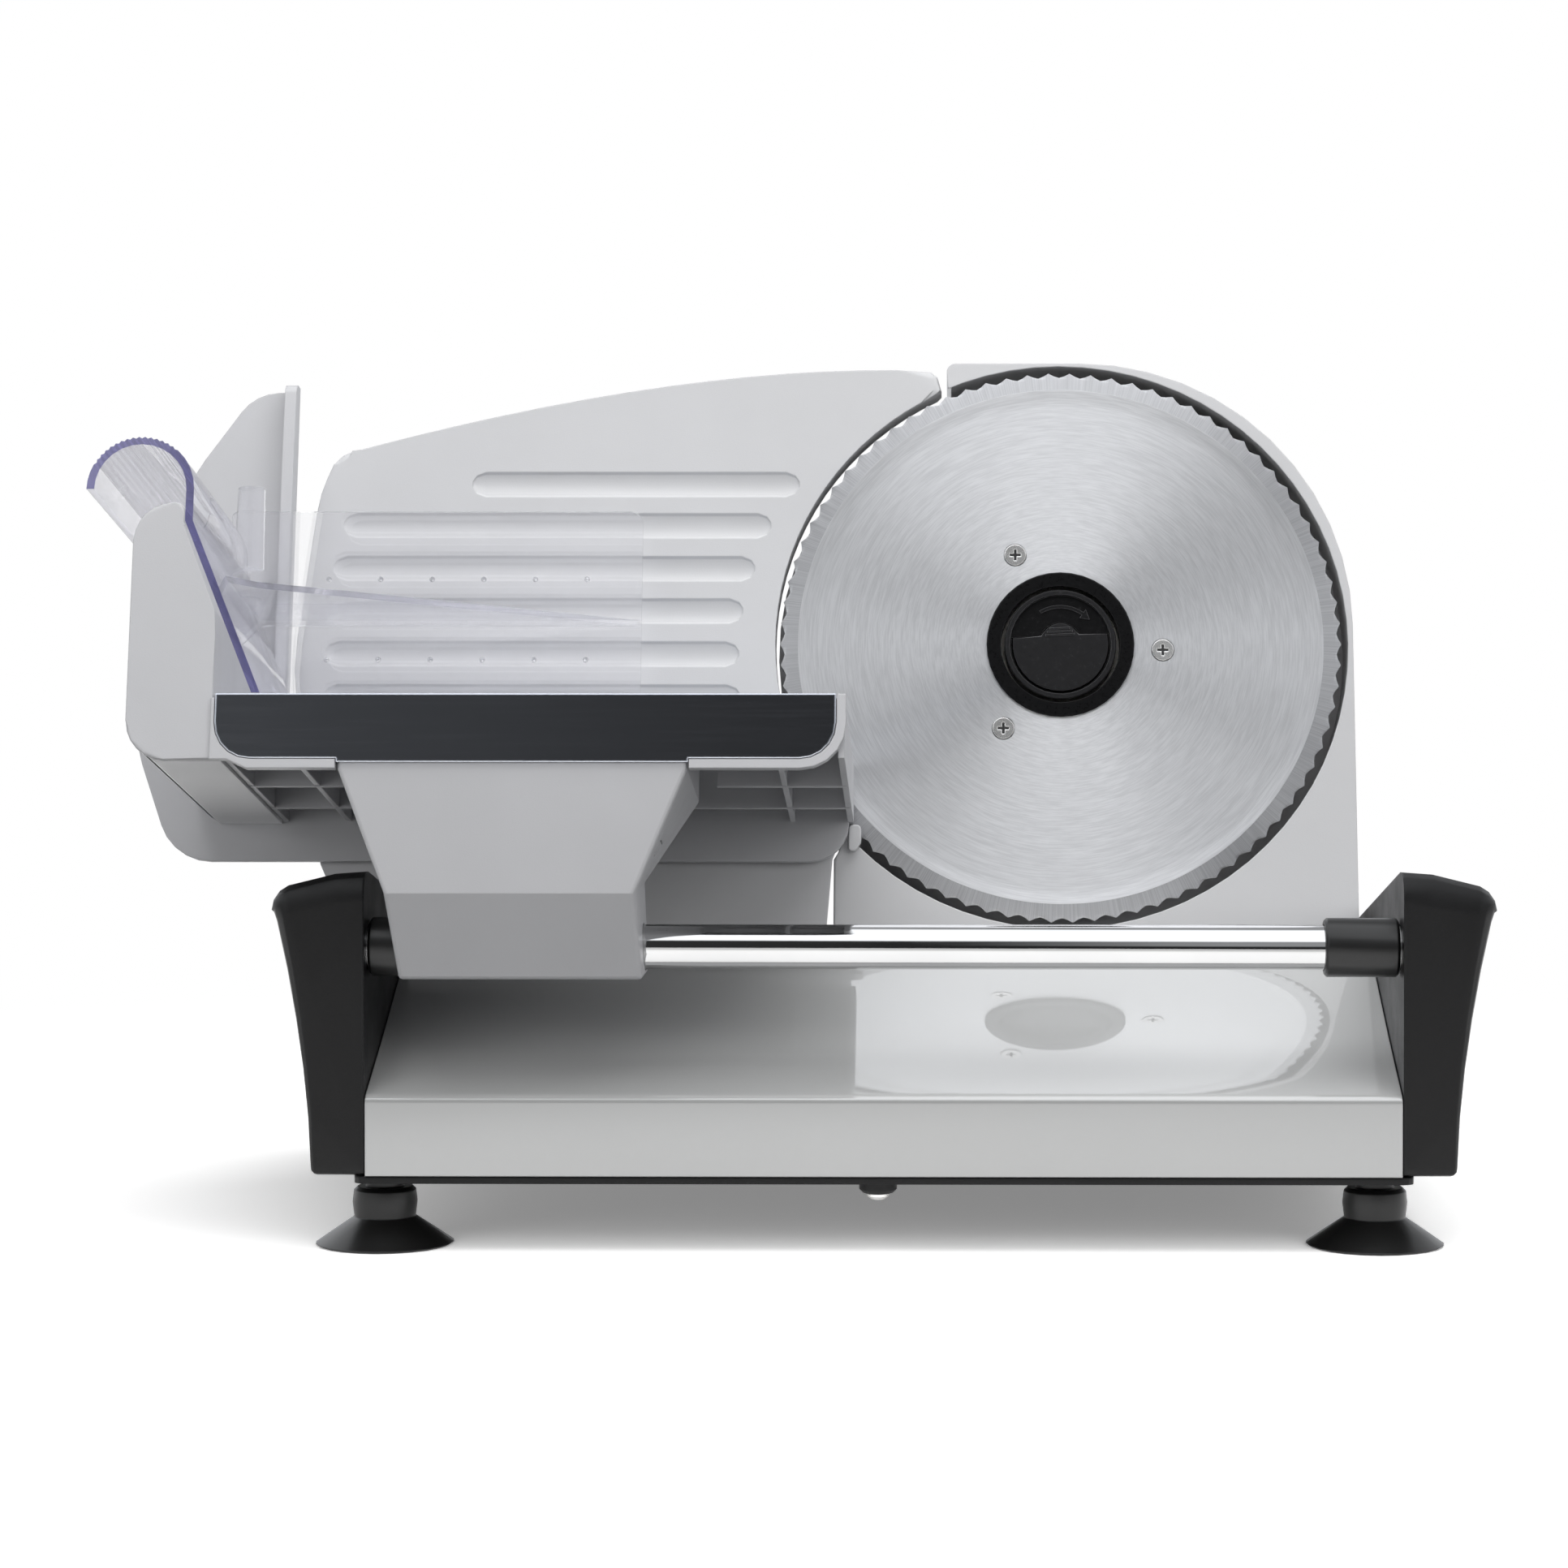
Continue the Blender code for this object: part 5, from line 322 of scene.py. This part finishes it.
def screw_steel(name, colour, recess_shade):
    """Plated screw head: bright face, with painted shade in the cross and down its sides."""
    material = bpy.data.materials.new(name)
    tree = tree_of(material)
    # Painted shade in the cross recess.
    in_shaded_recess = math_node(tree, "GREATER_THAN", behind_blade_face(tree), SCREW_RECESS_DEPTH)
    facing = vector_node(tree, "DOT_PRODUCT", own_normal(tree), tuple(AXIS))
    # Painted shade down the head's sides as well.
    side = math_node(tree, "GREATER_THAN", facing, SCREW_SIDE_FACING)
    marks = noise(tree, place_in(tree), 1400, 3, 0.6)
    face = blended(tree, remap(tree, marks, 0.3, 0.7, 0, 1), dimmed(colour, 0.9), colour)
    # The recess colour is painted shade.
    tone = blended(tree, math_node(tree, "MAXIMUM", in_shaded_recess, side), face, recess_shade)
    shade(
        tree, Base_Color=tone, Roughness=0.24, Metallic=1.0,
        Normal=bumped(tree, marks, 0.000004, 0.0005),
    )
    return material


def clear_plastic(name, tint, edge_tint, rough):
    """Clear moulding that lets lamp light through, violet on the front ends of its sheets."""
    material = bpy.data.materials.new(name)
    tree = tree_of(material)
    fine = noise(tree, place_in(tree), 60, 3, 0.5)
    facing = vector_node(tree, "DOT_PRODUCT", own_normal(tree), tuple(AXIS))
    depth = vector_node(tree, "DOT_PRODUCT", own_place(tree), tuple(AXIS))
    end_depth = AXIS.dot(leaning_point(0, PUSHER_FRONT + SHEET_END_DEPTH, 0))
    on_end = math_node(
        tree, "MULTIPLY", math_node(tree, "LESS_THAN", facing, SHEET_END_FACING),
        math_node(tree, "LESS_THAN", depth, end_depth),
    )
    body = add(
        tree, "BsdfPrincipled", Base_Color=blended(tree, on_end, tint, edge_tint), Roughness=rough,
        Transmission_Weight=1.0, IOR=CLEAR_INDEX, Normal=bumped(tree, fine, 0.00002),
    )
    clear = add(tree, "BsdfTransparent", Color=blended(tree, on_end, CLEAR_PASSES, edge_tint))
    path = add(tree, "LightPath")
    lit = math_node(tree, "MAXIMUM", path.outputs["Is Shadow Ray"], path.outputs["Is Diffuse Ray"])
    through = math_node(tree, "MAXIMUM", lit, CLEAR_SHARE)
    mixed = add(tree, "MixShader", i0=through, i1=body.outputs[0], i2=clear.outputs[0])
    inside = add(tree, "VolumeAbsorption", Color=CLEAR_DEEP, Density=CLEAR_DENSITY)
    out = add(tree, "OutputMaterial")
    tree.links.new(mixed.outputs[0], out.inputs["Surface"])
    tree.links.new(inside.outputs[0], out.inputs["Volume"])
    return material


LOOKS = {
    "paint": moulded("silver_paint", (0.545, 0.548, 0.560), 0.34, coat=0.15, mottle=0.02),
    "deck": moulded(
        "gloss_paint", (0.44, 0.445, 0.445), 0.5, grain=1400, grain_height=0.0, mottle=0.01,
        specular=0.2, coat=1.0, coat_rough=0.02, coat_index=2.1, rub=0.03, lean=0.10,
    ),
    "plastic": moulded("grey_plastic", (0.50, 0.503, 0.52), 0.42, mottle=0.02),
    # Painted light: a paler copy of the grey plastic, for the fence's underside that lies in shade.
    "painted_light_grey": moulded("painted_light_grey_plastic", (0.86, 0.863, 0.88), 0.42, mottle=0.02),
    "black": moulded(
        "black_plastic", (0.0055, 0.0055, 0.0058), 0.40, grain=3200, grain_height=0.00004,
        mottle=0.2, specular=0.25, soft=0.001,
    ),
    # Lock mouldings: the sunk colour is painted shade; the last colour serves scuffs and a painted
    # highlight along the edges.
    "trim": lock_plastic(
        "black_trim", (0.003, 0.003, 0.0032), (0.0035, 0.0035, 0.0038), (0.035, 0.035, 0.037), 0.30,
    ),
    "tab": lock_plastic(
        "worn_trim_painted_light", (0.0035, 0.0035, 0.0038), (0.014, 0.014, 0.0150), (0.14, 0.14, 0.145), 0.34,
    ),
    # The second colour is painted shade in the cross and down the sides.
    "blade_screw": screw_steel("screw_steel", (0.90, 0.89, 0.87), (0.13, 0.13, 0.13)),
    "rubber": moulded(
        "black_rubber", (0.008, 0.008, 0.008), 0.33, grain=1800, grain_height=0.00001,
        mottle=0.2, specular=0.4,
    ),
    "chrome": worked_metal(
        "chrome", (0.54, 0.54, 0.54), 0.06, streak=(0.05, 1, 1), spread=0.5, soft=0.0003,
    ),
    "polished": worked_metal(
        "polished_steel", (0.60, 0.625, 0.68), 0.07, streak=(0.03, 1, 1), spread=0.4, soft=0.0007,
    ),
    "zinc": worked_metal(
        "zinc_steel", (0.84, 0.83, 0.81), 0.42, streak_scale=700, streak_height=0.0, spread=0.1,
    ),
    "steel": worked_metal("machined_steel", (0.55, 0.55, 0.55), 0.35, streak=(1, 0.1, 1)),
    "copper": worked_metal(
        "copper_wire", (0.75, 0.36, 0.18), 0.35, streak=(0.06, 1, 1), streak_height=0.00002,
    ),
    "brass": worked_metal("bronze_bush", (0.60, 0.43, 0.20), 0.35),
    "iron": worked_metal(
        "stacked_iron", (0.30, 0.30, 0.31), 0.5, streak=(1, 0.02, 0.02), streak_scale=1600,
    ),
    "nylon": moulded("white_nylon", (0.74, 0.73, 0.68), 0.45, mottle=0.04),
    "blade": turned_steel("brushed_blade", (0.92, 0.92, 0.93), 0.9, 0.30, 0.32),
    "clear": clear_plastic("clear_plastic", (0.985, 0.985, 0.988), (0.22, 0.21, 0.47), 0.03),
}

WEARS = {
    "deck": ("base_shell",),
    "paint": ("motor_housing", "thickness_plate", "rear_cover"),
    "plastic": ("carriage_frame", "carriage_arm", "thickness_bracket"),
    "black": (
        "left_end_cap", "right_end_cap", "bottom_plate", "thickness_knob", "switch_bezel",
        "switch_rocker", "cord_gland", "motor_fan",
    ),
    "trim": ("hub_ring",),
    "tab": ("lock_disc", "press_tab"),
    "blade_screw": ("blade_screw_1", "blade_screw_2", "blade_screw_3"),
    "rubber": (
        "suction_foot_front_left", "suction_foot_front_right", "suction_foot_back_left",
        "suction_foot_back_right", "left_rod_buffer", "right_rod_buffer",
    ),
    "chrome": ("slide_rod", "guide_pin_left", "guide_pin_right"),
    "polished": ("tray_plate",),
    "blade": ("blade",),
    "clear": ("food_pusher",),
    "nylon": ("blade_gear", "worm_wheel", "arm_bush_left", "arm_bush_right"),
    "brass": ("drive_nut", "motor_bearing_left", "motor_bearing_right"),
}


def dress():
    chosen = {name: look for look, names in WEARS.items() for name in names}
    for name, obj in NODES.items():
        look = chosen.get(name)
        if look is None:
            if "screw" in name or "spring" in name:
                look = "zinc"
            elif "armature" in name:
                look = "copper"
            elif "stator" in name:
                look = "iron"
            else:
                look = "steel"
        obj.data.materials.clear()
        obj.data.materials.append(LOOKS[look])


SHARP_FROM = math.radians(26)
ARM_SHARP_FROM = math.radians(12)
WELD_WITHIN = 0.000002


def smooth_rounds(obj, sharp_from):
    """Round walls shade smooth, flat faces stay flat."""
    obj.data.shade_smooth()
    joined = obj.modifiers.new("joined_facets", "WELD")
    joined.merge_threshold = WELD_WITHIN
    edges = obj.modifiers.new("sharp_edges", "EDGE_SPLIT")
    edges.split_angle = sharp_from
    obj.modifiers.new("even_normals", "WEIGHTED_NORMAL")


dress()
for node_name, node_object in NODES.items():
    smooth_rounds(node_object, ARM_SHARP_FROM if node_name == "carriage_arm" else SHARP_FROM)


# The food fence's underside

FENCE_FRONT, FENCE_BACK = -0.1237, -0.0068
FENCE_FLOOR_SECTION = (
    (-0.1948, -0.0613), (-0.1926, -0.0630), (-0.1721, -0.0630), (-0.1721, -0.0616), (-0.1948, -0.0600),
)


def linked_object(name, mesh):
    obj = bpy.data.objects.new(name, mesh)
    bpy.context.scene.collection.objects.link(obj)
    return obj


def mesh_from(name, made):
    mesh = bpy.data.meshes.new(name)
    made.to_mesh(mesh)
    made.free()
    return mesh


def strip(name, section):
    """A flat strip along the fence, given by its section, set between the walls."""
    made = bmesh.new()
    ends = [
        [made.verts.new(leaning_point(x, back, z)) for x, z in section]
        for back in (FENCE_FRONT, FENCE_BACK)
    ]
    made.faces.new(ends[0])
    made.faces.new(ends[1][::-1])
    for i in range(len(section)):
        j = (i + 1) % len(section)
        made.faces.new((ends[0][i], ends[1][i], ends[1][j], ends[0][j]))
    bmesh.ops.recalc_face_normals(made, faces=made.faces)
    mesh = mesh_from(name, made)
    obj = linked_object(name, mesh)
    # Painted light: the underside gets the paler copy of the carriage's grey.
    mesh.materials.append(LOOKS["painted_light_grey"])
    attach(obj, "carriage")


strip("fence_floor", FENCE_FLOOR_SECTION)


# Floor, backdrop and light

WHITE = (1, 1, 1)
FLOOR_RADIUS, FLOOR_STEPS = 6.0, 96
FADE_FROM, FADE_TO = 0.32, 0.75
FLOOR_GREY = (0.64, 0.64, 0.64)
FLOOR_GLOW = 0.22
FLOOR_BOUNCE = (0.16, 0.16, 0.16)

MATT_LIGHT = 0.33
MIRROR_TINT = (0.95, 0.97, 1.0)
# What mirrors see. Each row: from and to along one axis, and the light at either end.
LEFT_SIDE = (-0.50, -0.20, 1.5, 0)
RIGHT_SIDE = (0.33, 0.60, 0, 1.3)
SIDES_BY_HEIGHT = (0.12, 0.32, 0.2, 1)
LOW_FRONT = (-0.30, 0.05, 0.10, 0.030)
CARD_LEFT_EDGE = (-0.26, -0.18, 0, 1)
CARD_RIGHT_EDGE = (-0.02, 0.08, 1, 0)
CARD_TOP_EDGE = (0.54, 0.60, 1, 0)
BAND = (0.14, 0.30, 0, 0.50)
OVERHEAD_BY_DEPTH = (0.20, 0.45, 1, 0.14)
OVERHEAD_BY_SIDE = (0.20, 0.45, 1, 0.4)
OVERHEAD = (0.54, 0.66, 0, 2.1)
BACK_BY_DEPTH = (0.0, 0.45, 0, 1)
BACK_TOP_EDGE = (0.35, 0.60, 1, 0)

# Each row: name, place, aim, size, power.
LAMPS = (
    ("overhead", (0.10, -0.25, 1.05), (0, 0.0, 0.15), (1.4, 0.7), 10.0),
    ("front", (0.10, -1.25, 1.05), (0, 0, 0.16), (1.2, 0.8), 3.2),
    ("fill", (-0.75, -1.05, 0.30), (-0.1, 0, 0.12), (0.8, 0.5), 3.1),
    ("key", (0.80, -0.85, 0.50), (0, 0, 0.2), (0.6, 0.5), 2.9),
)


def floor_material():
    """A bright floor with a soft shadow that fades to plain white; it throws back only a little light."""
    material = bpy.data.materials.new("floor")
    tree = tree_of(material)
    where = add(tree, "NewGeometry").outputs["Position"]
    far = remap(tree, vector_node(tree, "LENGTH", where), FADE_FROM, FADE_TO, 0, 1)
    path = add(tree, "LightPath")
    mirrored = math_node(
        tree, "MAXIMUM", path.outputs["Is Glossy Ray"], path.outputs["Is Transmission Ray"],
    )
    seen = math_node(tree, "MAXIMUM", path.outputs["Is Camera Ray"], mirrored)
    lit = add(tree, "BsdfDiffuse", Color=FLOOR_GREY)
    twice = add(tree, "AddShader", i0=lit.outputs[0], i1=lit.outputs[0])
    glow = add(tree, "Emission", Color=WHITE, Strength=FLOOR_GLOW)
    near = add(tree, "AddShader", i0=twice.outputs[0], i1=glow.outputs[0])
    white = add(tree, "Emission", Color=WHITE, Strength=1.0)
    shown = add(tree, "MixShader", i0=far, i1=near.outputs[0], i2=white.outputs[0])
    unseen = add(tree, "BsdfDiffuse", Color=FLOOR_BOUNCE)
    mixed = add(tree, "MixShader", i0=seen, i1=unseen.outputs[0], i2=shown.outputs[0])
    out = add(tree, "OutputMaterial")
    tree.links.new(mixed.outputs[0], out.inputs["Surface"])
    return material


def lay_floor():
    made = bmesh.new()
    bmesh.ops.create_circle(made, cap_ends=True, radius=FLOOR_RADIUS, segments=FLOOR_STEPS)
    floor = linked_object("floor", mesh_from("floor", made))
    floor.data.materials.append(floor_material())


def mirrored_light(tree):
    """A dark front band with a grey card, bright sides, overhead and back."""
    parts = add(tree, "SeparateXYZ", Vector=add(tree, "TexCoord").outputs["Generated"])
    across, along, up = (parts.outputs[axis] for axis in "XYZ")

    def product(first, second):
        return math_node(tree, "MULTIPLY", first, second)

    sides = math_node(
        tree, "ADD", remap(tree, across, *LEFT_SIDE), remap(tree, across, *RIGHT_SIDE),
    )
    side = product(sides, remap(tree, up, *SIDES_BY_HEIGHT))
    low = math_node(tree, "ADD", remap(tree, across, *LOW_FRONT), side)
    card = product(
        product(remap(tree, across, *CARD_LEFT_EDGE), remap(tree, across, *CARD_RIGHT_EDGE)),
        remap(tree, up, *CARD_TOP_EDGE),
    )
    middle = product(remap(tree, up, *BAND), math_node(tree, "SUBTRACT", 1.0, card))
    ahead = product(
        remap(tree, along, *OVERHEAD_BY_DEPTH), remap(tree, across, *OVERHEAD_BY_SIDE),
    )
    overhead = product(remap(tree, up, *OVERHEAD), ahead)
    behind = product(remap(tree, along, *BACK_BY_DEPTH), remap(tree, up, *BACK_TOP_EDGE))
    bright = math_node(tree, "MAXIMUM", math_node(tree, "MAXIMUM", overhead, middle), behind)
    return math_node(tree, "MAXIMUM", low, bright)


def light_world():
    """Even light for matt surfaces, a studio for mirrors, and white where it is seen directly."""
    world = bpy.data.worlds.new("studio")
    bpy.context.scene.world = world
    tree = tree_of(world)
    path = add(tree, "LightPath")
    soft = add(tree, "Background", Color=WHITE, Strength=MATT_LIGHT)
    mirror = add(tree, "Background", Color=MIRROR_TINT, Strength=mirrored_light(tree))
    white = add(tree, "Background", Color=WHITE, Strength=1.0)
    glossy = path.outputs["Is Glossy Ray"]
    first = add(tree, "MixShader", i0=glossy, i1=soft.outputs[0], i2=mirror.outputs[0])
    straight = math_node(
        tree, "MAXIMUM", path.outputs["Is Camera Ray"], path.outputs["Is Transmission Ray"],
    )
    second = add(tree, "MixShader", i0=straight, i1=first.outputs[0], i2=white.outputs[0])
    out = add(tree, "OutputWorld")
    tree.links.new(second.outputs[0], out.inputs["Surface"])


def lamp(name, at, aim, size, power):
    """A soft lamp that mirrors don't show."""
    data = bpy.data.lights.new(name, "AREA")
    data.shape = "RECTANGLE"
    data.size, data.size_y = size
    data.energy = power
    obj = linked_object(name, data)
    obj.location = at
    obj.rotation_euler = (Vector(aim) - Vector(at)).to_track_quat("-Z", "Y").to_euler()
    obj.visible_glossy = False


lay_floor()
light_world()
for row in LAMPS:
    lamp(*row)
